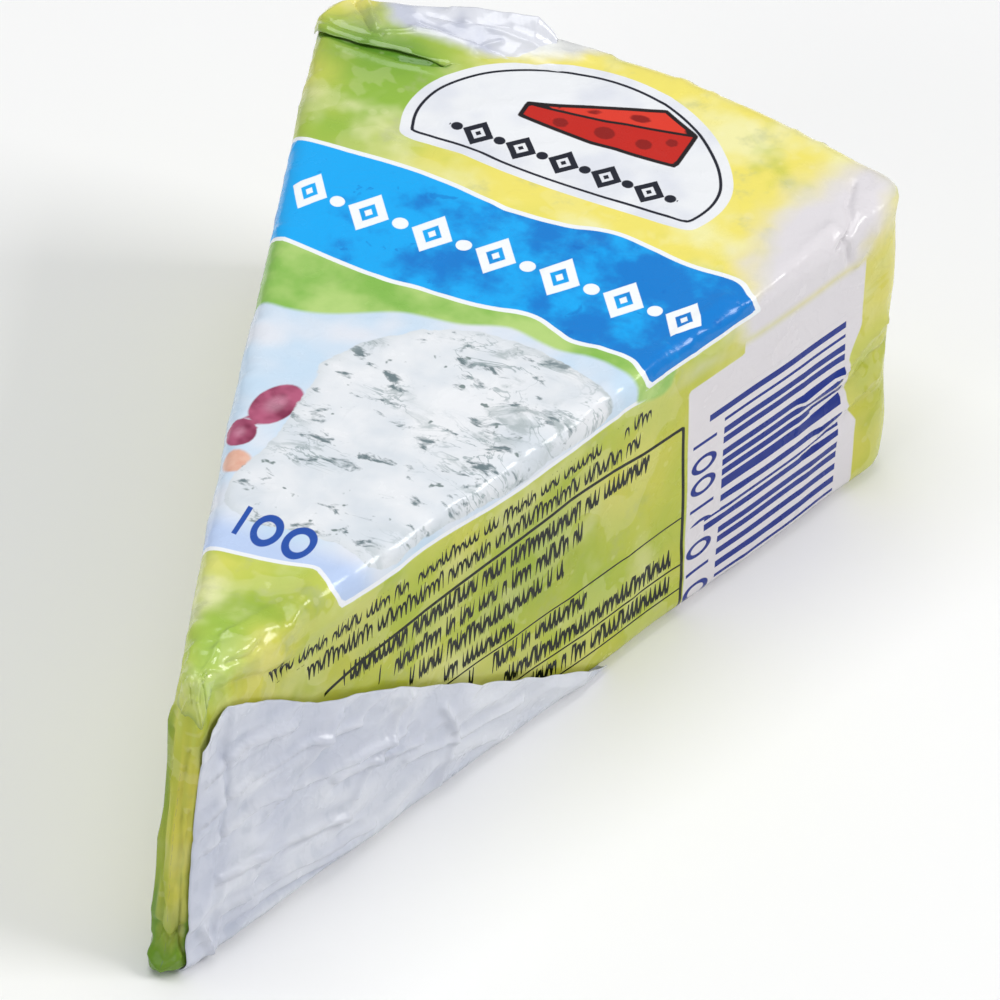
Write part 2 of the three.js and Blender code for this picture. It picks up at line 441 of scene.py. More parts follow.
def side_fields(run, drop):
    """What the small print on the side reads: its rows, their area and the table's border."""
    middles = np.array([row[0] for row in PRINT_ROWS])
    place = np.column_stack([run, drop])
    area = np.full(len(run), 99.0)
    left_rows = [
        (middle, MIRRORED_PRINT_SHIFT + start, MIRRORED_PRINT_SHIFT + end)
        for middle, start, end in LEFT_PRINT_ROWS
    ]
    for middle, start, end in PRINT_ROWS + left_rows:
        if end > start:
            beyond_end = np.maximum(start - run, run - end)
            above_or_below = np.abs(drop - middle) - PRINT_ROW_HALF
            area = np.minimum(area, np.maximum(beyond_end, above_or_below))
    return {
        "run": run,
        "drop": drop,
        "row": np.interp(drop, middles, np.arange(len(middles))),
        "rows_area": area,
        "table": signed_distance(place, np.array(TABLE, float)),
    }


# ---------------------------------------------------------------- creases of the sheet
def beside(*steps):
    """A line on the +X side, from pairs of run and drop."""
    run, drop = np.array(steps, float).T
    return RIGHT.on_sheet(run, drop)


# Folds of the sheet: their line on the flat sheet, their width and their height
SHEET_FOLDS = [
    # past the tuck at the rear corner of the -X side
    ([(-19.5, 38.5), (-17.5, 39), (-15.4, 39.8)], 0.35, -0.5),
    ([(-28, 37.8), (-20, 37.7), (-15.5, 38.6)], 0.7, 0.3),
    ([(-20, 44), (-15.6, 43.6), (-11, 43.6), (-6, 44.1)], 0.5, -0.35),
    ([(-16, 45.4), (-10, 45.6), (-4, 46.8)], 0.6, 0.35),
    ([(-18, 47), (-12, 47.4), (-3, 48.4)], 0.6, 0.35),
    # the star at the rear corner of the +X side
    (beside((86.4, 1.6), (88.6, 0.2), (90.5, -2.6), (93, -4.5)), 0.5, -0.5),
    (beside((87.4, 1.1), (88, 4)), 0.5, -0.35),
    (beside((74, 0.4), (82, -0.4), (87, -1.6)), 0.9, 0.35),
    (beside((89, 5), (91.5, 2.5)), 0.5, 0.3),
    (beside((82.5, 17.4), (87, 17.9), (90.5, 15.6), (94, 14.6)), 0.6, 0.5),
    (beside((84, 19.4), (88.5, 19.8), (92, 18), (95, 18.2)), 0.5, -0.55),
    (beside((85, 22.2), (89, 21.8), (93.5, 20.6)), 0.6, 0.45),
    (beside((83, 24.4), (89, 23), (94, 23.2)), 0.5, -0.3),
    # the nose: the pinched top, and the hollow that it pulls in the side
    ([(3.4, -36), (1.9, -39.8), (0.6, -42.9)], 0.3, 0.35),
    ([(0.9, -44.2), (1.7, -49.2)], 0.3, 0.35),
    ([(4.6, -40.4), (4.8, -43.6), (3.2, -45.6)], 0.45, -0.4),
    (beside((9, 2.2), (12, 0.6), (15, -1.2)), 0.8, 0.35),
    (beside((8, 4.6), (16, 3.6), (26, 3.4)), 1.2, 0.25),
    (beside((10, 2.6), (12, -2), (13, -5)), 0.5, -0.3),
    # pulls across the top's long edge and in the picture
    ([(17.3, -2.6), (17.4, 2), (16.8, 5.6)], 0.35, 0.3),
    ([(13.6, -2.2), (12, -1.6), (10.6, -2.4)], 0.3, 0.3),
    ([(8, 23), (5, 17), (4.6, 12)], 1.6, 0.2),
    ([(21.4, 22), (19.6, 15), (19.4, 9)], 0.7, 0.22),
    ([(-2, 23.6), (-4, 17), (-3, 11)], 1.4, -0.2),
]

NOSE_HOLLOW = (beside((1.2, 3.6), (3.8, 3.6), (7, 4.6), (10.5, 6)), 1.1, -0.6)

# Where the film is pulled out of place at the nose's foot: the spot, its reach and the move
PULLS = [((-1.3, -49.4, 0.3), 1.8, (-0.5, -1.3, -0.4)), ((1.4, -49.2, 0.8), 2.2, (0.6, -0.4, 0))]

# Where the sheet stands out, or is drawn in: centre, reach and height of each spot
BULGES = [
    (28.6, 44.4, 33.4, 2.0, 0.9), (6.2, -43.6, 32.4, 3.2, 0.6),
    (28.6, 44.8, 24, 5, 0.5), (28.6, 44.6, 5, 5, 0.4),
]


def sheet_relief(place, flat, drop):
    """How far the film stands out from the plain wedge."""
    soft = Noise(3)
    fine = Noise(8)
    height = 0.26 * soft(place, 19) + 0.13 * soft(place + 50, 8)
    network = np.clip(1 - 5 * np.abs(fine(place, 9)), 0, 1) ** 1.5
    gate = np.clip(0.5 + 1.5 * soft(place + 90, 15), 0, 1)
    height += 0.09 * network * gate
    puckers = np.clip(1 - 4 * np.abs(fine(place + 20, 4.2)), 0, 1)
    height += 0.16 * puckers * np.exp(-np.abs(drop) / 2.2)
    for line, width, high in SHEET_FOLDS:
        height += crease(flat, line, width, high)
    to_nose = np.exp(-((place[:, 1] + LENGTH / 2) / 7) ** 2)
    pleats = np.clip(1 - 2.4 * np.abs(fine(place * (1, 1, 0.16) + 70, 2.3)), 0, 1)
    height += to_nose * (0.3 * pleats - 0.15)
    for x, y, z, reach, high in BULGES:
        height += high * np.exp(-((place - (x, y, z)) ** 2).sum(axis=1) / reach ** 2)
    top_of_nose = np.exp(-((place[:, 1] + LENGTH / 2) ** 2 + (place[:, 2] - HEIGHT) ** 2) / 18)
    return height - 0.7 * top_of_nose


# ---------------------------------------------------------------- meshes
def make_mesh(name, points, faces):
    mesh = bpy.data.meshes.new(name)
    mesh.from_pydata(np.asarray(points).tolist(), [], np.asarray(faces).tolist())
    mesh.validate()
    return mesh


def make_piece(name, mesh):
    piece = bpy.data.objects.new(name, mesh)
    bpy.context.scene.collection.objects.link(piece)
    return piece


EDGE_STEPS = 6


def wedge_rings(inset, low, high, edge):
    """Plan outlines stacked from a low to a high level, with rounded edges."""
    turns = np.linspace(0, math.pi / 2, EDGE_STEPS)
    rims = [(inset + edge * (1 - math.sin(t)), edge * (1 - math.cos(t))) for t in turns]
    levels = [(draw_in, low + rise) for draw_in, rise in rims]
    levels += [(draw_in, high - rise) for draw_in, rise in reversed(rims)]
    return [
        np.column_stack([plan_outline(draw_in), np.full(len(plan_outline(draw_in)), level)])
        for draw_in, level in levels
    ]


def even_block(name, rings, spacing):
    """A closed block through stacked rings, meshed again in even squares."""
    count = len(rings[0])
    points = np.concatenate(rings)
    walls = [
        (k * count + i, k * count + (i + 1) % count, (k + 1) * count + (i + 1) % count,
         (k + 1) * count + i)
        for k in range(len(rings) - 1)
        for i in range(count)
    ]
    mesh = bpy.data.meshes.new(name)
    foot = list(range(count))[::-1]
    head = list(range(len(points) - count, len(points)))
    mesh.from_pydata(points.tolist(), [], [*walls, foot, head])
    rough = make_piece(name, mesh)
    squares = rough.modifiers.new("even squares", "REMESH")
    squares.mode = "VOXEL"
    squares.voxel_size = spacing
    bpy.context.view_layer.update()
    graph = bpy.context.evaluated_depsgraph_get()
    even = bpy.data.meshes.new_from_object(rough.evaluated_get(graph))
    bpy.data.objects.remove(rough)
    bpy.data.meshes.remove(mesh)
    return even


def split_near(mesh, spots):
    """Halves the squares within reach of some spots, where the folds are small."""
    work = bmesh.new()
    work.from_mesh(mesh)
    near = []
    for edge in work.edges:
        middle = (edge.verts[0].co + edge.verts[1].co) / 2
        if any((middle - Vector(spot)).length < reach for spot, reach in spots):
            near.append(edge)
    bmesh.ops.subdivide_edges(work, edges=near, cuts=1, use_grid_fill=True)
    work.to_mesh(mesh)
    work.free()


def vertex_array(items, field):
    found = np.empty(len(items) * 3)
    items.foreach_get(field, found)
    return found.reshape(-1, 3)


def store(mesh, **fields):
    """Keeps numbers or places at every vertex, for the inks to read."""
    for name, values in fields.items():
        kind, field = ("FLOAT", "value") if values.ndim == 1 else ("FLOAT_VECTOR", "vector")
        made = mesh.attributes.new(name, kind, "POINT")
        made.data.foreach_set(field, values.ravel())


# How far in from the side the drop begins, and how upright a normal is on the top or below
EDGE_BLEND = 6.0
LEVEL_SLOPE = 0.6


def sheet_places(points, normals):
    """Each point's place on the flat sheet, its drop below the top edge and its run."""
    flat = np.empty((len(points), 2))
    drop = np.empty(len(points))
    run = np.empty(len(points))
    for wall, here in halves(points):
        run[here], proud = wall.locate(points[here])
        under = normals[here, 2] < -LEVEL_SLOPE
        below_top = HEIGHT - SHEET_INSET - points[here, 2]
        from_side = (points[here, :2] * wall.mirror - wall.start) @ wall.out
        near_edge = np.clip((from_side + EDGE_BLEND) / (EDGE_BLEND - 1), 0, 1)
        below_top = np.maximum(below_top, 0) + 2 * SHEET_INSET * near_edge
        drop[here] = np.where(under, HEIGHT + points[here, 2] - proud, below_top + proud)
        on_top = normals[here, 2] > LEVEL_SLOPE
        over = points[here, :2] + below_top[:, None] * wall.out * wall.mirror
        flat[here] = np.where(on_top[:, None], over, wall.on_sheet(run[here], drop[here]))
    return flat, drop, run


NOSE_ARC = NOSE_RADIUS * (SIDE_ANGLE + math.pi / 2)


def round_the_nose(points, run):
    """How far round the nose each point is, from its front: positive towards +X."""
    return np.where(points[:, 0] >= 0, 1.0, -1.0) * (run + NOSE_ARC)


# Upright folds of the nose: places round it and drops, the width and the height
NOSE_FOLDS = [
    ([(-1.7, 7), (-1.3, 13), (-1.6, 19), (-0.9, 26), (-1.3, 30)], 0.3, -0.45),
    ([(-0.9, 12), (-0.2, 17), (-0.7, 23)], 0.4, 0.3),
    ([(0.9, 8.5), (0.3, 13), (0.9, 19), (0.4, 24)], 0.25, -0.4),
    ([(1.5, 15), (1.1, 22), (1.8, 31)], 0.3, -0.3),
    ([(1.6, 6.5), (2.0, 12), (1.5, 17)], 0.35, 0.35),
    ([(-0.2, 25), (0.6, 28), (0.2, 31)], 0.35, 0.35),
    ([(-2.4, 5), (-2.3, 18), (-2.5, 30)], 0.4, 0.35),
    ([(-1.6, 28.5), (0.2, 29.6), (2, 28.2)], 0.4, -0.5),
    ([(-1.8, 31.4), (0, 32), (1.6, 31)], 0.4, 0.5),
]


def nose_relief(points, run, drop):
    places = np.column_stack([round_the_nose(points, run), drop])
    height = np.zeros(len(points))
    near = (places[:, 0] > -5) & (places[:, 0] < 5)
    for line, width, high in NOSE_FOLDS:
        height[near] += crease(places[near], line, width, high)
    return height


def nose_streaks(points, run, drop):
    """Deeper and paler green streaks down the nose."""
    around = round_the_nose(points, run)
    streak = Noise(52)(np.column_stack([around * 1.6, drop * 0.16, around * 0]), 1.5)
    deep = 0.55 * np.exp(-((around + 2.1) / 0.8) ** 2) + 0.4 * np.exp(-((around - 2.4) / 0.3) ** 2)
    deep += 0.45 * streak - 0.05
    return deep * np.clip((drop - 2) / 5, 0, 1) * (np.abs(around) < 4)


def finish_mesh(mesh, points):
    """Puts worked-out points, in millimetres, into the mesh in metres."""
    low_point = 0.02
    points = points.copy()
    points[:, 2] = np.maximum(points[:, 2], low_point)
    mesh.vertices.foreach_set("co", (points * MM).ravel())
    mesh.shade_smooth()
    mesh.update()


SHEET_INSET = 0.35
SHEET_SPACING = 0.47
# How dark and how wide the painted shadow in front of the rear fold's lifted edge is
REAR_CREASE_PAINTED_SHADOW = 0.85
REAR_CREASE_SHADOW_WIDTH = 0.42
FINE_SPOTS = [
    ((0, -48, 30), 8),
    ((0, -49, 18), 9),
    ((0, -49, 6), 9),
    ((-24, 42, 33), 8),
    ((27, 40, 30), 7),
]


def make_sheet():
    """The printed sheet: the wedge's skin, crinkled."""
    rings = wedge_rings(SHEET_INSET, SHEET_INSET, HEIGHT - SHEET_INSET, EDGE_RADIUS)
    mesh = even_block("sheet", rings, SHEET_SPACING)
    split_near(mesh, FINE_SPOTS)
    points = vertex_array(mesh.vertices, "co")
    normals = vertex_array(mesh.vertex_normals, "vector")
    flat, drop, run = sheet_places(points, normals)
    relief = sheet_relief(points, flat, drop) + crease(flat, *NOSE_HOLLOW)
    relief += nose_relief(points, run, drop)
    store(mesh, **print_fields(flat))
    side_run = np.where(points[:, 0] >= 0, run, MIRRORED_PRINT_SHIFT + run)
    store(mesh, **side_fields(side_run, drop))
    shade = shade_at(points) + nose_streaks(points, run, drop)
    # Painted shadow: a dark green line on the sheet just in front of the rear fold's lifted edge
    away = distance_to_line(flat, np.array(REAR_CREASE) - (0, 0.15))
    shade += REAR_CREASE_PAINTED_SHADOW * np.exp(-(away / REAR_CREASE_SHADOW_WIDTH) ** 2)
    shade = np.clip(shade, -1, 1)
    store(mesh, place=points, shade=shade, flat=np.column_stack([flat, np.zeros(len(flat))]))
    points = lean_nose(points + normals * relief[:, None])
    for spot, reach, move in PULLS:
        near = np.exp(-((points - spot) ** 2).sum(axis=1) / reach ** 2)
        points = points + near[:, None] * np.array(move)
    finish_mesh(mesh, points)
    return make_piece("printed_sheet", mesh)


# ---------------------------------------------------------------- the white end of the sheet
FLAP_EDGE = [
    (-0.6, 8.2), (0.4, 6.6), (1.4, 5.7), (2.8, 5.3), (5, 6), (10, 8.6), (15, 11.6), (20, 13.6),
    (25, 15.8), (30, 18.7), (35, 21.4), (40, 24.3), (45, 27), (50, 29.7), (57, 33.2),
]
FLAP_START = -0.5
FLAP_END = 56.5
FLAP_HEM = 3.0
FLAP_LIFT = 0.16
FLAP_FOOT_LIFT = 0.02
FLAP_COLUMNS = 300
FLAP_ROWS = 96
FLAP_FOLDS = [
    ([(0, 12), (5, 10.5), (12, 12.5)], 0.5, 0.35),
    ([(0, 16.5), (6, 15), (14, 15.5), (21, 17.5)], 0.6, 0.4),
    ([(1, 20), (8, 18.8), (17, 20.8), (27, 22)], 0.7, 0.35),
    ([(3, 24.5), (10, 25.3), (20, 27.5)], 0.5, 0.5),
    ([(18, 22), (24, 23.2), (30, 25)], 0.5, 0.4),
    ([(1, 29), (3, 33)], 0.6, 0.4),
    ([(4, 28.6), (13, 29.4), (24, 31)], 0.6, 0.35),
    ([(9, 20.5), (13, 18.5), (18, 14.6)], 0.6, 0.3),
    ([(21, 25.6), (25, 22), (27.5, 18)], 0.6, 0.3),
    ([(5, 31.5), (12, 31.6), (19, 32.6)], 0.5, -0.35),
    ([(2, 9), (3.4, 14), (2.6, 22)], 0.6, -0.35),
    ([(28, 26), (36, 28), (44, 29)], 0.6, 0.3),
    ([(33, 23), (35, 27), (33, 32)], 0.6, 0.3),
]


def face_outwards(faces, points, outer):
    """Turns a grid's faces round if they look inwards."""
    corner, along, across = (points[faces[len(faces) // 2][i]] for i in (0, 1, 3))
    way = outer[faces[len(faces) // 2][0]] - corner
    if np.cross(along - corner, across - corner) @ way < 0:
        return [face[::-1] for face in faces]
    return faces


def grid_faces(rows, columns):
    return [
        (r * columns + c, r * columns + c + 1, (r + 1) * columns + c + 1, (r + 1) * columns + c)
        for r in range(rows - 1)
        for c in range(columns - 1)
    ]


FILM_THICKNESS = 0.09


def give_thickness(piece):
    """Turns a thin sheet into a closed film."""
    film = piece.modifiers.new("film", "SOLIDIFY")
    film.thickness = FILM_THICKNESS * MM
    film.offset = 1.0
    return piece


def flap_relief(run, drop):
    """The white end's own creases, on top of what it lies on."""
    coarse = Noise(21)
    fine = Noise(22)
    spot = np.column_stack([run * 0.42 + drop * 0.16, drop - run * 0.1, np.zeros(len(run))])
    facets = np.clip(1 - 3.4 * np.abs(coarse(spot, 6.5)), 0, 1)
    small = np.clip(1 - 3.4 * np.abs(fine(spot + 30, 3.1)), 0, 1)
    height = 0.2 + 0.36 * facets + 0.16 * small + 0.2 * coarse(spot + 60, 11)
    places = np.column_stack([run, drop])
    for line, width, high in FLAP_FOLDS:
        height += 1.9 * crease(places, line, 0.8 * width, high)
    return np.maximum(height, 0.05)


def make_flap():
    """The sheet's white end, lapped over the printed side from the foot up."""
    columns, rows = FLAP_COLUMNS, FLAP_ROWS
    edge = np.array(FLAP_EDGE, float)
    across = np.linspace(FLAP_START, FLAP_END, columns)
    wobble = Noise(5)
    down = np.linspace(0, 1, rows)[:, None]
    top = np.interp(across, edge[:, 0], edge[:, 1])
    top = top + 0.22 * wobble(np.column_stack([across, top, top * 0]), 3.5)
    foot = HEIGHT + FLAP_HEM
    run = np.broadcast_to(across, (rows, columns))
    drop = top + (foot - top) * down
    lean = -0.35 * np.sin(drop / HEIGHT * math.pi) * np.exp(-(run - FLAP_START) / 2)
    run = (run + lean).ravel()
    drop = drop.ravel()
    place = RIGHT.in_space(run, drop, 0.0)
    flat = RIGHT.on_sheet(run, drop)
    under = np.clip((drop - (HEIGHT - 2)) / 2, 0, 1)
    own = flap_relief(run, drop)
    lift = sheet_relief(place, flat, drop) - SHEET_INSET + FLAP_LIFT + own
    lift = lift * (1 - under) + FLAP_FOOT_LIFT * under
    points = lean_nose(RIGHT.in_space(run, drop, lift))
    outer = lean_nose(RIGHT.in_space(run, drop, lift + 1))
    faces = face_outwards(grid_faces(rows, columns), points, outer)
    mesh = make_mesh("side_flap", points, faces)
    # Painted shade: the white end is darkened in its crease valleys
    valley = np.clip(1 - own / 0.5, 0, 1)
    store(mesh, place=place, run=run, drop=drop, valley=valley)
    finish_mesh(mesh, points)
    return give_thickness(make_piece("side_flap", mesh))


# ---------------------------------------------------------------- folds that lie on the sheet
def round_nose(degrees, drop):
    """A place on the nose, turned from its front towards +X, at a drop below the top edge."""
    turn = math.radians(degrees)
    return (NOSE_RADIUS + drop) * math.sin(turn), NOSE_Y - (NOSE_RADIUS + drop) * math.cos(turn)


def behind(x, drop):
    """A place on the rind's wall, at a drop below the top edge."""
    turn = math.asin(x / RIND_RADIUS)
    return (RIND_RADIUS + drop) * math.sin(turn), RIND_Y + (RIND_RADIUS + drop) * math.cos(turn)


REAR_FOLD_FRONT = [
    (-30.6, 38.9), (-28.3, 38.7), (-26.4, 38.6), (-23.2, 38.8), (-19.8, 39.2), (-17.4, 39.5),
    (-15.4, 39.9), (-13.2, 40.8), (-11, 42.6), (-9, 45), (-7.6, 47.4),
]
REAR_FOLD_FRONT_LIFT = [0.1, 0.2, 0.25, 0.25, 0.2, 0.15, 0.0, -0.15, -0.15, -0.15, -0.15]
REAR_FOLD_BACK = [
    (-31, 41), (-30.2, 44.2), (-27.4, 46.8), (-25, 47.8), behind(-22.6, 1.2), behind(-20, 0.2),
    behind(-17.5, -0.5), behind(-15, -0.9), behind(-12.5, -1), behind(-10, -1), behind(-8, -0.6),
]
REAR_FOLD_BACK_LIFT = [0.05, 0.08, 0.1, 0.15, 0.2, 0.4, 0.65, 0.9, 1.2, 1.5, -0.1]
REAR_FOLDS = [
    ([(-26.6, 44), (-25, 42.4), (-23.6, 41), (-22.2, 40.7)], 0.3, -0.55),
    ([(-25.6, 44.4), (-24.4, 42.9), (-23.2, 41.6)], 0.3, 0.45),
    ([(-22.6, 40.8), (-21.4, 41.6), (-20, 42.5)], 0.3, 0.45),
    ([(-29, 40.4), (-26, 40.1), (-22.8, 40.3)], 0.4, -0.3),
    ([(-28.4, 39.4), (-24, 39.3), (-19, 39.8)], 0.35, 0.3),
    ([(-20.2, 42.8), (-17, 43.4), (-13.6, 43.4), (-12, 44.6)], 0.35, 0.35),
    ([(-19.6, 45), (-16, 45.2), (-12, 46.4)], 0.4, -0.3),
    ([(-28.6, 41), (-27.6, 43.6), (-26, 45.4)], 0.6, 0.2),
]
REAR_CREASE = REAR_FOLD_FRONT[:7]
PLEAT_TOP = [
    round_nose(-62, 1), round_nose(-40, -0.2), round_nose(-20, -0.8), round_nose(0, -1.2),
    round_nose(14, -1.4), round_nose(42, -1.4), round_nose(62, -1), *beside((0.6, -0.4), (1.6, 0.4)),
]
PLEAT_FOOT = [
    round_nose(-62, 2.6), round_nose(-40, 3.6), round_nose(-20, 4.2), round_nose(0, 4.5),
    round_nose(14, 4.3), round_nose(42, 5.2), round_nose(62, 4.1), *beside((0.6, 2.8), (1.8, 1.6)),
]
PLEAT_FOOT_LIFT = [-0.1, 0.15, 0.25, 0.3, 0.3, 0.6, 0.35, 0.1, -0.15]
PLEAT_FOLDS = [
    ([round_nose(42, 5), round_nose(30, 2.8), round_nose(34, 0.4)], 0.35, 0.5),
    ([round_nose(20, 3), round_nose(2, 1.2)], 0.3, -0.25),
    ([round_nose(-8, 4.2), round_nose(8, 2.6), round_nose(30, 2.4)], 0.3, 0.3),
    ([round_nose(62, 3.6), round_nose(52, 1)], 0.3, -0.3),
]


# Values that keep the print under the flap, and the dark rim, a painted shadow, off a patch's sunk
# edges
UNPRINTED_RUN = 99.0
UNSHADED_RIM = 9.0


def make_patch(name, near, far, rows, folds, near_lift, far_lift, seed):
    """A thin sheet between two curves of the flat sheet, laid over the wedge with its own folds.

    The lifts are steps along each curve; below zero the patch runs in under the sheet.
    """
    columns = len(near)
    across = np.linspace(0, 1, columns)
    near_lift, far_lift = [
        np.interp(across, np.linspace(0, 1, len(steps)), steps) for steps in (near_lift, far_lift)
    ]
    part = np.linspace(0, 1, rows)[:, None]
    lift = (near_lift + (far_lift - near_lift) * part ** 1.4).ravel()
    free = np.clip((lift + 0.08) / 0.2, 0, 1)
    wave = Noise(seed)
    flat = (near + (far - near) * part[..., None]).reshape(-1, 2)
    ragged = wave(np.column_stack([flat * 0.9, np.full(len(flat), 7.0)]), 2.4)
    flat = flat + 0.25 * ragged[:, None]
    place = drape(flat, np.zeros(len(flat)))
    beyond = np.empty(len(flat))
    for wall, here in halves(flat):
        beyond[here] = wall.locate(flat[here])[1]
    own = 0.12 * np.clip(1 - 3 * np.abs(wave(place, 4.0)), 0, 1)
    for line, width, high in folds:
        own += 0.75 * crease(flat, line, width, high)
    rise = sheet_relief(place, flat, beyond) - SHEET_INSET + lift + own * free
    points = lean_nose(drape(flat, rise))
    outer = lean_nose(drape(flat, rise + 1))
    faces = face_outwards(grid_faces(rows, columns), points, outer)
    mesh = make_mesh(name, points, faces)
    # Painted shadow: the folds' film darkens along a lifted near edge; sunk edges get none
    sunk = np.tile(near_lift < 0.05, rows)
    store(
        mesh,
        place=place,
        sun=sun_at(flat),
        shade=shade_at(place),
        white=signed_distance(flat, smooth_loop(REAR_WHITE, 5)),
        run=np.full(len(flat), UNPRINTED_RUN),
        drop=beyond,
        # painted shade: how low the patch lies, darkened by the white film
        valley=np.clip(0.6 - rise, 0, 1),
        rim=distance_to_line(flat, near) + UNSHADED_RIM * sunk,
    )
    finish_mesh(mesh, points)
    return give_thickness(make_piece(name, mesh))


def make_rear_fold():
    near = smooth_line(REAR_FOLD_FRONT, 190)
    far = smooth_line(REAR_FOLD_BACK, 190)
    lifts = REAR_FOLD_FRONT_LIFT, REAR_FOLD_BACK_LIFT
    return make_patch("rear_corner_fold", near, far, 70, REAR_FOLDS, *lifts, 31)


def make_nose_pleat():
    near = smooth_line(PLEAT_FOOT, 110)
    far = smooth_line(PLEAT_TOP, 110)
    return make_patch("nose_pleat", near, far, 56, PLEAT_FOLDS, PLEAT_FOOT_LIFT, [-0.15], 33)


REAR_LAP_FOOT = [
    behind(-24, 3), behind(-17.4, 12), behind(-12.6, 21.5), behind(-9.5, 24.6), behind(0, 25.3),
    behind(9.2, 24.4), behind(12.4, 21.8), behind(17.2, 12.4), behind(23.6, 3.1),
]
REAR_LAP_TOP = [behind(x, 2.5) for x in (-23.8, -18, -11, -5.5, 0, 5.5, 11, 18, 23.4)]
REAR_LAP_FOLDS = [
    ([behind(-20, 3), behind(-8, 4.6), behind(9, 3.4), behind(20, 4)], 0.7, 0.35),
    ([behind(-17, 7), behind(-11, 12), behind(-9, 19)], 0.6, 0.4),
    ([behind(16, 5), behind(8, 13), behind(5, 21)], 0.6, 0.4),
    ([behind(-4, 6), behind(-1, 14), behind(-3, 23)], 0.7, -0.35),
    ([behind(-10, 21), behind(0, 19.6), behind(9, 21.4)], 0.6, 0.35),
    ([behind(2, 8), behind(7, 10), behind(12, 8.6)], 0.5, 0.3),
]
EAR_CORNER = [(26.2, 3.4), (26.8, 9), (27, 17), (26.8, 25), (26.2, 33.6)]
EAR_EDGE = [(19, 3.6), (11, 10), (5.5, 18), (10, 26), (18, 33.4)]
EAR_FOLDS = [
    ([(25, 5), (20, 9), (14, 13)], 0.6, 0.3),
    ([(25.6, 12), (20, 15), (14, 17.6)], 0.6, -0.2),
    ([(25, 22), (20, 21.4), (15, 20.6)], 0.6, 0.3),
    ([(24.6, 30), (18, 26.6), (13, 24)], 0.6, -0.2),
    ([(24, 8), (22.6, 16), (24, 24)], 0.7, 0.25),
]


def make_rear_lap():
    near = smooth_line(REAR_LAP_FOOT, 170)
    far = smooth_line(REAR_LAP_TOP, 170)
    return make_patch("rear_lap", near, far, 80, REAR_LAP_FOLDS, [0.72], [0.22], 35)


def make_ear(name, side, lift, seed):
    """The end of a side's film, folded round the corner on to the rind."""
    near = smooth_line([behind(side * x, drop) for x, drop in EAR_EDGE], 100)
    far = smooth_line([behind(side * x, drop) for x, drop in EAR_CORNER], 100)
    folds = [
        ([behind(side * x, drop) for x, drop in line], width, high)
        for line, width, high in EAR_FOLDS
    ]
    return make_patch(name, near, far, 60, folds, [lift], [0.02], seed)


# ---------------------------------------------------------------- colours and nodes
def ink(code):
    """A colour of light from its six-figure code."""
    parts = [int(code[i:i + 2], 16) / 255 for i in (0, 2, 4)]
    light = [c / 12.92 if c <= 0.04045 else ((c + 0.055) / 1.055) ** 2.4 for c in parts]
    return (*light, 1.0)


class Wiring:
    """Short ways to add and join the nodes of a material or a group."""

    def __init__(self, tree):
        self.tree = tree

    def node(self, kind, feeds=None, **settings):
        made = self.tree.nodes.new(kind)
        for name, value in settings.items():
            setattr(made, name, value)
        for name, value in (feeds or {}).items():
            self.feed(made.inputs[name], value)
        return made

    def feed(self, socket, value):
        if isinstance(value, bpy.types.NodeSocket):
            self.tree.links.new(value, socket)
        else:
            socket.default_value = value

    def read(self, name, output="Fac"):
        return self.node("ShaderNodeAttribute", attribute_name=name).outputs[output]

    def math(self, operation, *values):
        made = self.node("ShaderNodeMath", operation=operation)
        for socket, value in zip(made.inputs, values):
            self.feed(socket, value)
        return made.outputs[0]

    def combine(self, operation, *values):
        """One sum, product or greatest of several values."""
        total = values[0]
        for value in values[1:]:
            total = self.math(operation, total, value)
        return total

    plus = partialmethod(combine, "ADD")
    times = partialmethod(combine, "MULTIPLY")
    most = partialmethod(combine, "MAXIMUM")
    minus = partialmethod(math, "SUBTRACT")
    over = partialmethod(math, "DIVIDE")
    scaled = partialmethod(math, "MULTIPLY_ADD")
    absolute = partialmethod(math, "ABSOLUTE")
    whole = partialmethod(math, "FLOOR")
    fraction = partialmethod(math, "FRACT")
    root = partialmethod(math, "SQRT")
    above = partialmethod(math, "GREATER_THAN")
    below = partialmethod(math, "LESS_THAN")

    def rest(self, value):
        """What a value leaves of one."""
        return self.minus(1.0, value)

    def apart(self, first, second):
        """How far two values are from each other."""
        return self.absolute(self.minus(first, second))

    def step(self, value, low, high, smooth=True):
        """0 at the low value and 1 at the high one, or the other way round."""
        kind = "SMOOTHSTEP" if smooth else "LINEAR"
        feeds = {"Value": value, "From Min": low, "From Max": high}
        return self.node("ShaderNodeMapRange", feeds, interpolation_type=kind).outputs["Result"]

    def within(self, value, limit, soft=0.05):
        """1 where a value is below the limit."""
        return self.rest(self.step(value, limit - soft, limit + soft))

    def mix(self, amount, first, second):
        made = self.node("ShaderNodeMix", data_type="RGBA")
        self.feed(made.inputs[0], amount)
        self.feed(made.inputs[6], first)
        self.feed(made.inputs[7], second)
        return made.outputs[2]

    def noise(self, place, wave, detail=2.0, roughness=0.5, distortion=0.0):
        feeds = {
            "Vector": place,
            "Scale": 1 / wave,
            "Detail": detail,
            "Roughness": roughness,
            "Distortion": distortion,
        }
        return self.node("ShaderNodeTexNoise", feeds).outputs["Fac"]

    def moved(self, place, shift=(0, 0, 0), turn=(0, 0, 0), scale=(1, 1, 1)):
        feeds = {"Vector": place, "Location": shift, "Rotation": turn, "Scale": scale}
        return self.node("ShaderNodeMapping", feeds).outputs[0]

    def parts(self, vector):
        made = self.node("ShaderNodeSeparateXYZ", {"Vector": vector})
        return made.outputs

    def use(self, group, **feeds):
        made = self.node("ShaderNodeGroup", node_tree=group)
        for name, value in feeds.items():
            self.feed(made.inputs[name], value)
        return made.outputs


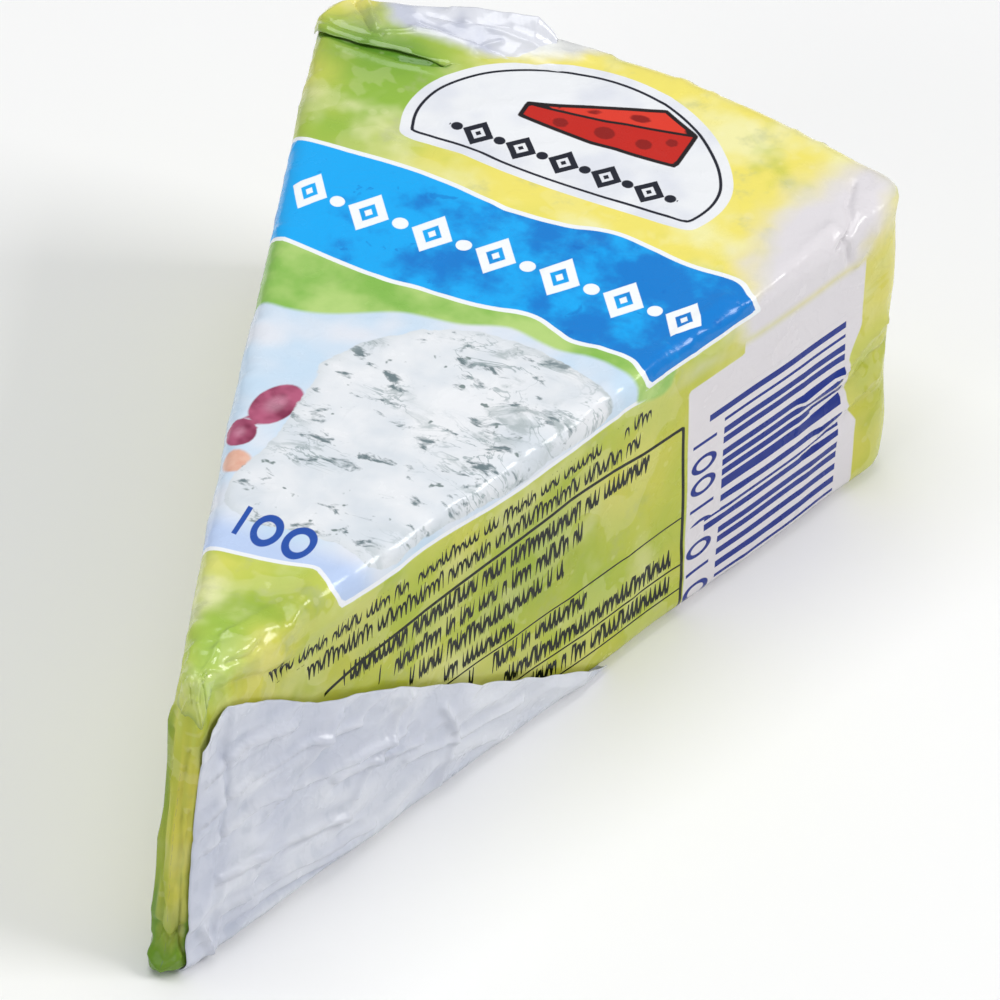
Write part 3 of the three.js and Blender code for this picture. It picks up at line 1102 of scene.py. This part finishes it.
def new_group(name, inputs, outputs):
    """A node group with its sockets, and its ends."""
    tree = bpy.data.node_groups.new(name, "ShaderNodeTree")
    for socket, kind in inputs:
        tree.interface.new_socket(socket, in_out="INPUT", socket_type=kind)
    for socket, kind in outputs:
        tree.interface.new_socket(socket, in_out="OUTPUT", socket_type=kind)
    wires = Wiring(tree)
    start = wires.node("NodeGroupInput")
    end = wires.node("NodeGroupOutput")
    return tree, wires, start.outputs, end.inputs


VALUE = "NodeSocketFloat"
VECTOR = "NodeSocketVector"
COLOR = "NodeSocketColor"


# Pale, deep and dusty clouds: their shift, their noise, its edges, their strength and their ink
GROUND_CLOUDS = [
    ((40, 0, 0), (8.0, 3.0), (0.48, 0.7), 0.7, "f2f1bd"),
    ((0, 70, 0), (7.0, 3.0), (0.54, 0.8), 0.7, "8fae2f"),
    ((0, 0, 55), (5.0, 4.0, 0.6), (0.56, 0.72), 0.5, "b4bb8c"),
]


def ground_print():
    """The blurred green and yellow print of the sheet."""
    tree, wires, given, wanted = new_group(
        "ground_print",
        [("Place", VECTOR), ("Sun", VALUE), ("Shade", VALUE), ("Drop", VALUE)],
        [("Color", COLOR)],
    )
    place = given["Place"]
    broad = wires.noise(place, 13.0, 3.0, 0.55)
    sun = wires.scaled(broad, 0.8, given["Sun"])
    sun = wires.step(sun, 0.45, 1.32)
    colour = wires.mix(sun, ink("94bb45"), ink("efe26e"))
    for shift, grain, edges, amount, tone in GROUND_CLOUDS:
        cloud = wires.step(wires.noise(wires.moved(place, shift), *grain), *edges)
        colour = wires.mix(wires.times(cloud, amount), colour, ink(tone))
    beside = wires.step(given["Drop"], 0.5, 7.0)
    olive = wires.mix(broad, ink("9fae22"), ink("bdb52e"))
    colour = wires.mix(wires.times(beside, 0.5), colour, olive)
    # Shade deepens the green: deeper print, and painted shade in the hollows and before the rear
    # fold
    shade = wires.most(given["Shade"], 0.0)
    colour = wires.mix(wires.times(shade, 0.85), colour, ink("4d8422"))
    light = wires.most(wires.times(given["Shade"], -1.0), 0.0)
    colour = wires.mix(light, colour, ink("c4e088"))
    wires.feed(wanted["Color"], colour)
    return tree


def film_finish():
    """How gloss and fine wrinkles vary over the film."""
    tree, wires, given, wanted = new_group(
        "film_finish", [("Place", VECTOR)], [("Roughness", VALUE), ("Height", VALUE)]
    )
    place = given["Place"]
    rub = wires.noise(place, 6.0, 4.0, 0.6)
    wires.feed(wanted["Roughness"], wires.step(rub, 0.1, 1.9, smooth=False))
    wave = wires.noise(place, 3.2, 3.0, 0.5, 0.4)
    ridge = wires.apart(wave, 0.5)
    ridge = wires.rest(wires.step(ridge, 0.0, 0.1))
    grain = wires.noise(wires.moved(place, (9, 9, 9)), 0.7, 2.0)
    height = wires.scaled(ridge, 0.5, wires.times(grain, 0.25))
    wires.feed(wanted["Height"], height)
    return tree


def contact_patches():
    """Where the film sticks flat to the cheese: islands with crisp edges, and small bubbles."""
    tree, wires, given, wanted = new_group(
        "contact_patches", [("Place", VECTOR)], [("Mask", VALUE)]
    )
    place = given["Place"]
    island = wires.noise(place, 8.5, 3.0, 0.5, 0.6)
    island = wires.step(island, 0.52, 0.545)
    feeds = {"Vector": place, "Scale": 0.42}
    spots = wires.node("ShaderNodeTexVoronoi", feeds).outputs["Distance"]
    chance = wires.noise(wires.moved(place, (0, 0, 33)), 11.0, 1.0)
    spots = wires.within(wires.scaled(chance, -0.34, spots), 0.0, 0.04)
    wires.feed(wanted["Mask"], wires.most(island, spots))
    return tree


def letter_marks():
    """Rows of wavy strokes with gaps, which stand for small print and say nothing."""
    tree, wires, given, wanted = new_group(
        "letter_marks",
        [("Along", VALUE), ("Level", VALUE), ("Row", VALUE), ("Weight", VALUE)],
        [("Mask", VALUE)],
    )
    shifted = wires.scaled(given["Row"], 7.37, given["Along"])
    cell = wires.whole(shifted)
    seat = wires.node("ShaderNodeCombineXYZ", {"X": cell, "Y": given["Row"]})
    white = wires.node("ShaderNodeTexWhiteNoise", {"Vector": seat.outputs[0]})
    split = wires.node("ShaderNodeSeparateColor", {"Color": white.outputs["Color"]})
    gap, tall, low = split.outputs[:3]
    across = wires.times(wires.fraction(shifted), math.pi)
    arch = wires.math("SINE", across)
    rise = wires.scaled(wires.above(tall, 0.7), 0.22, 0.34)
    upside = wires.scaled(wires.above(low, 0.55), -2.0, 1.0)
    middle = wires.minus(wires.times(rise, 0.5), 0.2)
    height = wires.times(wires.minus(arch, 0.5), rise)
    height = wires.scaled(height, upside, middle)
    slope = wires.times(wires.math("COSINE", across), wires.times(rise, 9.0))
    steep = wires.root(wires.scaled(slope, slope, 1.0))
    away = wires.absolute(wires.plus(given["Level"], height))
    away = wires.over(away, steep)
    stroke = wires.within(wires.minus(away, given["Weight"]), 0.0, 0.015)
    filled = wires.above(gap, 0.13)
    wires.feed(wanted["Mask"], wires.times(stroke, filled))
    return tree


GROUND = ground_print()
FINISH = film_finish()
CONTACT = contact_patches()
MARKS = letter_marks()


def new_material(name):
    """A material with only its surface, and the wiring of its nodes."""
    material = bpy.data.materials.new(name)
    material.use_nodes = True
    wires = Wiring(material.node_tree)
    surface = material.node_tree.nodes["Principled BSDF"]
    return material, wires, surface


def bump(wires, height, distance):
    feeds = {"Height": height, "Distance": distance * MM, "Strength": 1.0}
    return wires.node("ShaderNodeBump", feeds).outputs["Normal"]


def cover(wires, surface, colour, place, gloss, coat, coat_roughness, wrinkles):
    """The film's finish under a print: its gloss, its clear coat and its fine wrinkles."""
    finish = wires.use(FINISH, Place=place)
    wires.feed(surface.inputs["Base Color"], colour)
    wires.feed(surface.inputs["Roughness"], finish["Roughness"])
    wires.feed(surface.inputs["Specular IOR Level"], gloss)
    wires.feed(surface.inputs["Coat Weight"], coat)
    surface.inputs["Coat Roughness"].default_value = coat_roughness
    wires.feed(surface.inputs["Normal"], bump(wires, finish["Height"], wrinkles))


def mottled(wires, place, wave, detail, edges, first, second):
    """Two inks in soft clouds."""
    return wires.mix(wires.step(wires.noise(place, wave, detail), *edges), ink(first), ink(second))


def lozenge_row(wires, x, rise, period, half_width, half_height, dot_radius, ends):
    """A row of lozenges with dots between them, on both sides of a middle line."""
    along = wires.fraction(wires.scaled(x, 1 / period, 0.5))
    away = wires.absolute(wires.times(wires.minus(along, 0.5), period))
    up = wires.absolute(rise)
    part_across = wires.over(away, half_width)
    lozenge = wires.plus(part_across, wires.over(up, half_height))
    ring = wires.within(wires.apart(lozenge, 0.72), 0.25, 0.03)
    core = wires.within(lozenge, 0.2, 0.03)
    far = wires.minus(period / 2, away)
    spread = wires.scaled(far, far, wires.times(up, up))
    dot = wires.within(wires.root(spread), dot_radius, 0.05)
    shape = wires.most(ring, core, dot)
    return wires.times(shape, wires.within(wires.absolute(x), ends, 0.02))


def plate_print(wires, place, x, y):
    """The white plate: its dark inline, a little wedge and a row of lozenges."""
    plate = wires.read("plate")
    tone = wires.step(wires.noise(place, 5.0, 2.0), 0.4, 0.7)
    colour = wires.mix(tone, ink("eceef1"), ink("dfe2ea"))
    inline = wires.within(wires.absolute(wires.plus(plate, 1.15)), 0.15, 0.04)
    rise = wires.minus(y, wires.scaled(x, -0.01, 32.2))
    row = lozenge_row(wires, x, rise, 4.3, 1.6, 1.85, 0.55, 11.5)
    dark = wires.most(inline, row)
    colour = wires.mix(dark, colour, ink("1b1e2b"))
    motif = wires.read("motif")
    red = wires.mix(wires.within(wires.read("motif_top"), 0.0, 0.06), ink("c32318"), ink("dd3a28"))
    red = wires.mix(wires.within(wires.read("holes"), 0.0, 0.1), red, ink("8f150f"))
    fold = wires.within(wires.absolute(wires.read("motif_top")), 0.16, 0.06)
    rim = wires.within(wires.absolute(motif), 0.22, 0.06)
    red = wires.mix(fold, red, ink("1d1416"))
    colour = wires.mix(wires.within(motif, 0.0, 0.06), colour, red)
    colour = wires.mix(rim, colour, ink("1d1416"))
    return wires.within(plate, 0.0, 0.05), colour


NUMBER_LEVEL = -27.9
NUMBER_HALF_HEIGHT = 1.8
NUMBER_STROKE = 0.28


def number_print(wires, x, y):
    """The plain number 100 on the picture's foot."""
    rise = wires.plus(wires.scaled(x, 0.06, y), -NUMBER_LEVEL)
    tall = wires.over(rise, NUMBER_HALF_HEIGHT)
    shapes = []
    for middle in (-2.3, 1.1):
        wide = wires.over(wires.minus(x, middle), 1.2)
        spread = wires.scaled(wide, wide, wires.times(tall, tall))
        ring = wires.apart(wires.root(spread), 1.0)
        shapes.append(wires.within(ring, NUMBER_STROKE, 0.04))
    stem = wires.within(wires.absolute(wires.plus(x, 5.1)), NUMBER_STROKE, 0.04)
    height = wires.within(wires.absolute(tall), 1.15, 0.04)
    shapes.append(wires.times(stem, height))
    return wires.most(*shapes)


def pictured_cheese(wires, place, colour):
    """The pale cheese with its grey-green veins, over what lies behind it in the picture."""
    slab = wires.read("slab")
    ragged = wires.scaled(wires.noise(place, 2.0, 3.0), 1.1, slab)
    mask = wires.within(ragged, 0.5, 0.12)
    paste = mottled(wires, place, 6.0, 3.0, (0.3, 0.7), "d6dde4", "eceef1")
    drawn_out = wires.moved(place, (3, 1, 0), (0, 0, -0.35), (1.0, 1.7, 1.0))
    veined = wires.step(wires.noise(wires.moved(place, (12, 5, 0)), 9.0, 1.0), 0.42, 0.62)
    vein = wires.noise(drawn_out, 4.4, 5.0, 0.62, 0.6)
    soft_vein = wires.times(wires.step(vein, 0.5, 0.62), wires.times(veined, 0.8))
    paste = wires.mix(soft_vein, paste, ink("a4b0b2"))
    sharp = wires.noise(wires.moved(drawn_out, (30, 0, 0)), 2.6, 4.0, 0.6, 0.4)
    sharp = wires.scaled(veined, 0.06, sharp)
    paste = wires.mix(wires.step(sharp, 0.59, 0.71), paste, ink("6f7f84"))
    thread = wires.noise(wires.moved(drawn_out, (0, 0, 44)), 5.0, 4.0, 0.6, 0.7)
    thread = wires.within(wires.apart(thread, 0.5), 0.012, 0.01)
    thread = wires.times(thread, veined, 0.75)
    paste = wires.mix(thread, paste, ink("94a3a6"))
    speck = wires.noise(wires.moved(place, (0, 60, 0)), 1.5, 2.0)
    paste = wires.mix(wires.step(speck, 0.68, 0.74), paste, ink("7e8c8c"))
    rim = wires.step(slab, -1.4, 0.2)
    paste = wires.mix(wires.times(rim, 0.3), paste, ink("bcc6ca"))
    return wires.mix(mask, colour, paste)


def ground_colour(wires, place):
    sun, shade, drop = wires.read("sun"), wires.read("shade"), wires.read("drop")
    return wires.use(GROUND, Place=place, Sun=sun, Shade=shade, Drop=drop)["Color"]


def front_print(wires, place):
    """Everything printed on the sheet, from the ground up."""
    colour = ground_colour(wires, place)
    patches = wires.use(CONTACT, Place=place)["Mask"]
    colour = wires.mix(wires.times(patches, 0.12), colour, ink("f6f3c8"))

    # the white end of the print, with its blurred edge on top
    margin = wires.read("margin")
    haze = wires.scaled(wires.noise(place, 5.0, 2.0), 6.0, margin)
    level = wires.parts(place)[2]
    on_top = wires.step(level, HEIGHT - 6.0, HEIGHT - 4.0)
    soft = wires.times(wires.within(haze, 4.2, 3.0), on_top)
    crisp = wires.times(wires.within(margin, 0.0, 0.1), wires.rest(on_top))
    colour = wires.mix(wires.most(soft, crisp), colour, ink("dedade"))

    rear = wires.scaled(wires.noise(place, 3.5, 3.0), 2.4, wires.read("rear_white"))
    cloud = mottled(wires, place, 4.0, 2.0, (0.4, 0.65), "eceef1", "d3d6df")
    colour = wires.mix(wires.times(wires.within(rear, 1.0, 1.2), 0.9), colour, cloud)

    # the picture: sky, its foot, fruit and the cheese
    picture = wires.read("picture")
    sky = mottled(wires, place, 7.0, 2.0, (0.3, 0.7), "c7ddf0", "e2e6ee")
    x, y, _ = wires.parts(wires.read("flat", "Vector"))
    sky = wires.mix(wires.step(y, -26.5, -30.0), sky, ink("bccff0"))
    sky = wires.mix(wires.within(picture, -0.5, 0.06), ink("eef1f5"), sky)
    colour = wires.mix(wires.within(picture, 0.0, 0.06), colour, sky)
    flesh = wires.mix(wires.noise(place, 1.2, 2.0), ink("eec9b4"), ink("d9967f"))
    colour = wires.mix(wires.within(wires.read("flesh"), 0.0, 0.25), colour, flesh)
    berry = mottled(wires, place, 2.6, 2.0, (0.35, 0.65), "b65c7c", "7f2c4b")
    berries = wires.read("berries")
    shine = wires.within(berries, -1.25, 0.5)
    berry = wires.mix(wires.times(shine, 0.45), berry, ink("dba3b8"))
    colour = wires.mix(wires.within(berries, 0.0, 0.12), colour, berry)
    colour = pictured_cheese(wires, place, colour)
    colour = wires.mix(number_print(wires, x, y), colour, ink("2450a8"))

    # the green strip, fading into the picture at its left
    strip = wires.read("strip")
    green = mottled(wires, place, 5.0, 3.0, (0.3, 0.7), "86ba50", "b6d47c")
    colour = wires.mix(wires.within(strip, 0.0, 0.35), colour, green)

    # the blue band between its white borders
    band = wires.read("band")
    colour = wires.mix(wires.within(band, 0.0, 0.05), colour, ink("f0f4f6"))
    tone = wires.scaled(x, -0.008, wires.noise(wires.moved(place, (0, 0, 20)), 5.5, 4.0, 0.6))
    blue = wires.mix(wires.step(tone, 0.36, 0.62), ink("0a7cd0"), ink("10aaf4"))
    stain = wires.step(wires.noise(place, 2.6, 3.0, 0.6, 0.8), 0.62, 0.68)
    blue = wires.mix(wires.times(stain, 0.5), blue, ink("006cc4"))
    rise = wires.minus(y, wires.scaled(x, -0.012, 17.35))
    row = lozenge_row(wires, x, rise, 6.4, 2.1, 2.85, 0.75, 21.5)
    blue = wires.mix(row, blue, ink("f4f7f9"))
    colour = wires.mix(wires.within(band, -0.55, 0.05), colour, blue)

    mask, plate = plate_print(wires, place, x, y)
    return wires.mix(mask, colour, plate)


LETTERS_PER_MM = 1.55
TABLE_START = 16.5
TABLE_END = 67.5


def side_print(wires, colour):
    """The small print, the table's rules and the bars of the side."""
    row = wires.read("row")
    run = wires.read("run")
    index = wires.whole(wires.plus(row, 0.5))
    level = wires.minus(row, index)
    along = wires.times(run, LETTERS_PER_MM)
    bold = wires.step(row, 2.4, 2.6)
    weight = wires.scaled(bold, 0.022, 0.07)
    marks = wires.use(MARKS, Along=along, Level=level, Row=index, Weight=weight)["Mask"]
    marks = wires.times(marks, wires.within(wires.read("rows_area"), 0.0, 0.05))
    table = wires.read("table")
    border = wires.within(wires.absolute(table), 0.2, 0.04)
    border = wires.times(border, wires.step(run, TABLE_START - 0.1, TABLE_START + 0.1))
    border = wires.times(border, wires.within(run, TABLE_END))
    fraction = wires.apart(wires.fraction(row), 0.5)
    rule = wires.times(wires.within(fraction, 0.035, 0.01), wires.within(table, -0.1))
    low = wires.step(run, 30.0, 31.0)
    wanted_row = wires.within(wires.apart(row, 6.5), 0.3)
    later_row = wires.step(row, 8.2, 8.3)
    rule = wires.times(rule, low, wires.most(wanted_row, later_row))
    dark = wires.most(marks, border, rule)
    return wires.mix(dark, colour, ink("081206"))


DIGIT_RUN = 68.8
DIGIT_PITCH = 2.55
DIGIT_FIRST_DROP = 12.6
DIGIT_HALF_WIDTH = 0.82
DIGIT_HALF_HEIGHT = 1.4


def plain_digits(wires, run, drop):
    """A column of noughts and ones beside the bars."""
    level = wires.over(wires.minus(drop, DIGIT_FIRST_DROP), DIGIT_PITCH)
    cell = wires.whole(level)
    aside = wires.minus(wires.fraction(level), 0.5)
    aside = wires.times(aside, DIGIT_PITCH)
    tall = wires.minus(run, DIGIT_RUN)
    wide = wires.over(aside, DIGIT_HALF_WIDTH)
    high = wires.over(tall, DIGIT_HALF_HEIGHT)
    spread = wires.root(wires.scaled(wide, wide, wires.times(high, high)))
    ring = wires.within(wires.apart(spread, 1.0), 0.24, 0.04)
    stem = wires.within(wires.absolute(aside), 0.19, 0.04)
    stem = wires.times(stem, wires.within(wires.absolute(high), 1.15, 0.04))
    even = wires.below(wires.fraction(wires.times(cell, 0.37)), 0.35)
    digit = wires.plus(wires.times(stem, even), wires.times(ring, wires.rest(even)))
    return wires.times(digit, wires.above(level, 0.0))


BAR_MODULE = 0.385
BAR_GROUP = 7
BAR_FIRST_DROP = 10.3
BAR_START = 71.4
BAR_END = 88.0

# The longer bars: their drop and half width, and how much further they reach
BAR_GUARDS = [(24.3, 0.8), (11.2, 0.9)]
BAR_GUARD_REACH = 2.1


def bar_print(wires, colour):
    """Plain bars across the white field of the side, in no code's order."""
    drop = wires.read("drop")
    run = wires.read("run")
    level = wires.over(wires.minus(drop, BAR_FIRST_DROP), BAR_MODULE * BAR_GROUP)
    group = wires.whole(level)
    within_group = wires.times(wires.fraction(level), BAR_GROUP)
    feeds = {"W": wires.plus(group, 0.37)}
    white = wires.node("ShaderNodeTexWhiteNoise", feeds, noise_dimensions="1D")
    split = wires.node("ShaderNodeSeparateColor", {"Color": white.outputs["Color"]})
    first, second, third = split.outputs[:3]

    def edge(chance, reach):
        return wires.plus(1.0, wires.whole(wires.times(chance, reach)))

    bar_start = edge(first, 1.99)
    bar_end = wires.plus(bar_start, edge(second, 1.99))
    next_start = wires.plus(bar_end, edge(third, 1.6))
    one = wires.times(wires.above(within_group, bar_start), wires.below(within_group, bar_end))
    bars = wires.most(one, wires.above(within_group, next_start))
    guards = [wires.within(wires.apart(drop, place), half, 0.01) for place, half in BAR_GUARDS]
    guard = wires.most(*guards)
    start = wires.scaled(guard, -BAR_GUARD_REACH, BAR_START)
    span = wires.within(wires.minus(start, run), 0.0, 0.04)
    span = wires.times(span, wires.within(run, BAR_END, 0.04))
    height = wires.step(drop, BAR_FIRST_DROP - 0.02, BAR_FIRST_DROP + 0.02)
    bars = wires.times(bars, span, height)
    beside = wires.times(plain_digits(wires, run, drop), wires.rest(guard))
    bars = wires.most(bars, beside)
    tint = wires.noise(wires.read("place", "Vector"), 4.0, 2.0)
    navy = wires.mix(tint, ink("00187c"), ink("12348c"))
    return wires.mix(bars, colour, navy)


def printed_film():
    material, wires, surface = new_material("printed_film_front")
    place = wires.read("place", "Vector")
    colour = bar_print(wires, side_print(wires, front_print(wires, place)))
    beside = wires.step(wires.read("drop"), 0.0, 2.5)
    gloss = wires.scaled(beside, -0.15, 0.3)
    coat = wires.scaled(beside, -0.28, 0.35)
    cover(wires, surface, colour, place, gloss, coat, coat_roughness=0.15, wrinkles=0.035)
    return material


def folded_film():
    """The folds' film: the sheet's ground, running out into white, with a painted shadow along each
    lifted near edge.
    """
    material, wires, surface = new_material("printed_film_folds")
    place = wires.read("place", "Vector")
    ground = ground_colour(wires, place)
    # Painted shadow: dark green along a patch's lifted near edge
    rim = wires.within(wires.read("rim"), 0.35, 0.35)
    ground = wires.mix(wires.times(rim, 0.4), ground, ink("4d7a25"))
    haze = wires.scaled(wires.noise(place, 3.0, 2.0), 2.0, wires.read("white"))
    cloud = mottled(wires, place, 4.0, 2.0, (0.4, 0.65), "e0e2ea", "c6cad9")
    colour = wires.mix(wires.within(haze, 0.9, 0.9), ground, cloud)
    cover(wires, surface, colour, place, gloss=0.4, coat=0.6, coat_roughness=0.08, wrinkles=0.04)
    return material


def white_film():
    material, wires, surface = new_material("white_film")
    place = wires.read("place", "Vector")
    cloud = wires.step(wires.noise(place, 9.0, 3.0), 0.35, 0.7)
    colour = wires.mix(cloud, ink("cfd3e0"), ink("dfe2ea"))
    # Painted shade: darker blue-grey where the film lies low in its creases
    colour = wires.mix(wires.times(wires.read("valley"), 0.5), colour, ink("b3bacd"))
    rows = wires.fraction(wires.times(wires.read("drop"), 0.36))
    rows = wires.within(wires.apart(rows, 0.5), 0.24, 0.12)
    broken = wires.step(wires.noise(wires.moved(place, scale=(1, 1, 0.3)), 1.3, 2.0), 0.48, 0.62)
    through = wires.times(rows, broken, wires.within(wires.read("run"), 30.0, 6.0), 0.16)
    colour = wires.mix(through, colour, ink("9aa6b8"))
    cover(wires, surface, colour, place, gloss=0.3, coat=0.06, coat_roughness=0.35, wrinkles=0.05)
    return material


# ---------------------------------------------------------------- floor, light and camera
AIM_HEIGHT = 16.0
CAMERA_AZIMUTH = math.radians(22.88)
CAMERA_ELEVATION = math.radians(41.385)
CAMERA_ROLL = math.radians(3.102)
CAMERA_DISTANCE = 1800.0
CAMERA_LENS = 716.4
AIM_ASIDE = 8.53
AIM_UP = 1.24


def add_camera():
    side, tilt, roll = CAMERA_AZIMUTH, CAMERA_ELEVATION, CAMERA_ROLL
    ahead = math.cos(tilt)
    towards = Vector((math.sin(side) * ahead, -math.cos(side) * ahead, math.sin(tilt)))
    level = Vector((math.cos(side), math.sin(side), 0))
    upright = towards.cross(level)
    right = math.cos(roll) * level + math.sin(roll) * upright
    up = math.cos(roll) * upright - math.sin(roll) * level
    aim = Vector((0, 0, AIM_HEIGHT)) + AIM_ASIDE * right + AIM_UP * up
    lens = bpy.data.cameras.new("camera")
    lens.lens = CAMERA_LENS
    lens.sensor_width = 36.0
    lens.clip_start = 0.1
    lens.clip_end = 10.0
    camera = bpy.data.objects.new("camera", lens)
    bpy.context.scene.collection.objects.link(camera)
    turned = Matrix((right, up, towards)).transposed().to_4x4()
    camera.matrix_world = Matrix.Translation((aim + CAMERA_DISTANCE * towards) * MM) @ turned
    bpy.context.scene.camera = camera


def add_light(name, place, aim, size, power, tint):
    lamp = bpy.data.lights.new(name, "AREA")
    lamp.shape = "RECTANGLE"
    lamp.size, lamp.size_y = size
    lamp.energy = power
    lamp.color = tint
    light = bpy.data.objects.new(name, lamp)
    bpy.context.scene.collection.objects.link(light)
    light.location = place
    light.rotation_euler = (Vector(aim) - Vector(place)).to_track_quat("-Z", "Y").to_euler()


def add_floor():
    reach = 1.6
    corners = [(-reach, -reach, 0), (reach, -reach, 0), (reach, reach, 0), (-reach, reach, 0)]
    floor = make_piece("floor", make_mesh("floor", corners, [(0, 1, 2, 3)]))
    material, _, surface = new_material("plain_floor")
    surface.inputs["Base Color"].default_value = ink("f4f4f4")
    surface.inputs["Roughness"].default_value = 0.7
    floor.data.materials.append(material)


def add_studio():
    add_floor()
    add_light("overhead", (-0.15, 0.05, 1.0), (0, 0, 0), (0.7, 0.7), 4.6, (1, 1, 1))
    add_light("right", (0.75, 0.2, 0.75), (0, 0, 0.02), (0.4, 0.4), 5.2, (1, 0.99, 0.97))
    add_light("front", (-0.35, -0.95, 0.45), (0, 0, 0.02), (0.6, 0.5), 2.2, (1, 1, 1))
    world = bpy.data.worlds.new("studio")
    world.use_nodes = True
    backdrop = world.node_tree.nodes["Background"]
    backdrop.inputs["Color"].default_value = (0.92, 0.94, 0.97, 1)
    backdrop.inputs["Strength"].default_value = 0.34
    bpy.context.scene.world = world
    bpy.context.scene.view_settings.view_transform = "Standard"


# ---------------------------------------------------------------- the finished wedge
CHEESE_INSET = 1.15
CHEESE_EDGE_RADIUS = 1.2
CHEESE_SPACING = 0.7


def make_cheese():
    """The cheese itself: a crumbly block with small hollows."""
    rings = wedge_rings(CHEESE_INSET, CHEESE_INSET, HEIGHT - CHEESE_INSET, CHEESE_EDGE_RADIUS)
    mesh = even_block("cheese", rings, CHEESE_SPACING)
    points = vertex_array(mesh.vertices, "co")
    normals = vertex_array(mesh.vertex_normals, "vector")
    crumb = Noise(41)
    hollow = np.clip(crumb(points, 5.0) - 0.35, 0, 1)
    relief = -0.12 + 0.1 * crumb(points, 2.2) - 1.2 * hollow
    store(mesh, place=points)
    finish_mesh(mesh, lean_nose(points + normals * relief[:, None]))
    return make_piece("veined_cheese", mesh)


def cheese_paste():
    material, wires, surface = new_material("cheese_paste")
    place = wires.read("place", "Vector")
    paste = mottled(wires, place, 6.0, 3.0, (0.3, 0.7), "efe6cf", "f6f0de")
    vein = wires.noise(place, 4.5, 4.0, 0.6, 0.9)
    colour = wires.mix(wires.step(vein, 0.56, 0.66), paste, ink("7f9088"))
    fine = wires.noise(wires.moved(place, (30, 0, 0)), 1.8, 3.0, 0.6, 0.4)
    colour = wires.mix(wires.step(fine, 0.62, 0.7), colour, ink("5f7a7c"))
    wires.feed(surface.inputs["Base Color"], colour)
    wires.feed(surface.inputs["Roughness"], wires.step(wires.noise(place, 2.0, 3.0), -0.6, 1.2))
    surface.inputs["Subsurface Weight"].default_value = 0.15
    surface.inputs["Subsurface Radius"].default_value = (0.002, 0.0015, 0.001)
    wires.feed(surface.inputs["Normal"], bump(wires, wires.noise(place, 0.8, 3.0), 0.2))
    return material


sheet = make_sheet()
sheet.data.materials.append(printed_film())
flap = make_flap()
flap.data.materials.append(white_film())
folds = folded_film()
rear_fold = make_rear_fold()
nose_pleat = make_nose_pleat()
rear_ears = [make_ear("rear_ear_left", -1, 0.12, 36), make_ear("rear_ear_right", 1, 0.16, 37)]
rear_lap = make_rear_lap()
for piece in (rear_fold, nose_pleat, *rear_ears):
    piece.data.materials.append(folds)
rear_lap.data.materials.append(flap.data.materials[0])
cheese = make_cheese()
cheese.data.materials.append(cheese_paste())

film_pieces = [sheet, flap, rear_fold, nose_pleat, rear_lap, *rear_ears]
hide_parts("cheese_wedge")
for piece in film_pieces:
    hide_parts("printed_wrap")
for piece in [cheese, *film_pieces]:
    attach(piece, "root")

add_studio()
add_camera()
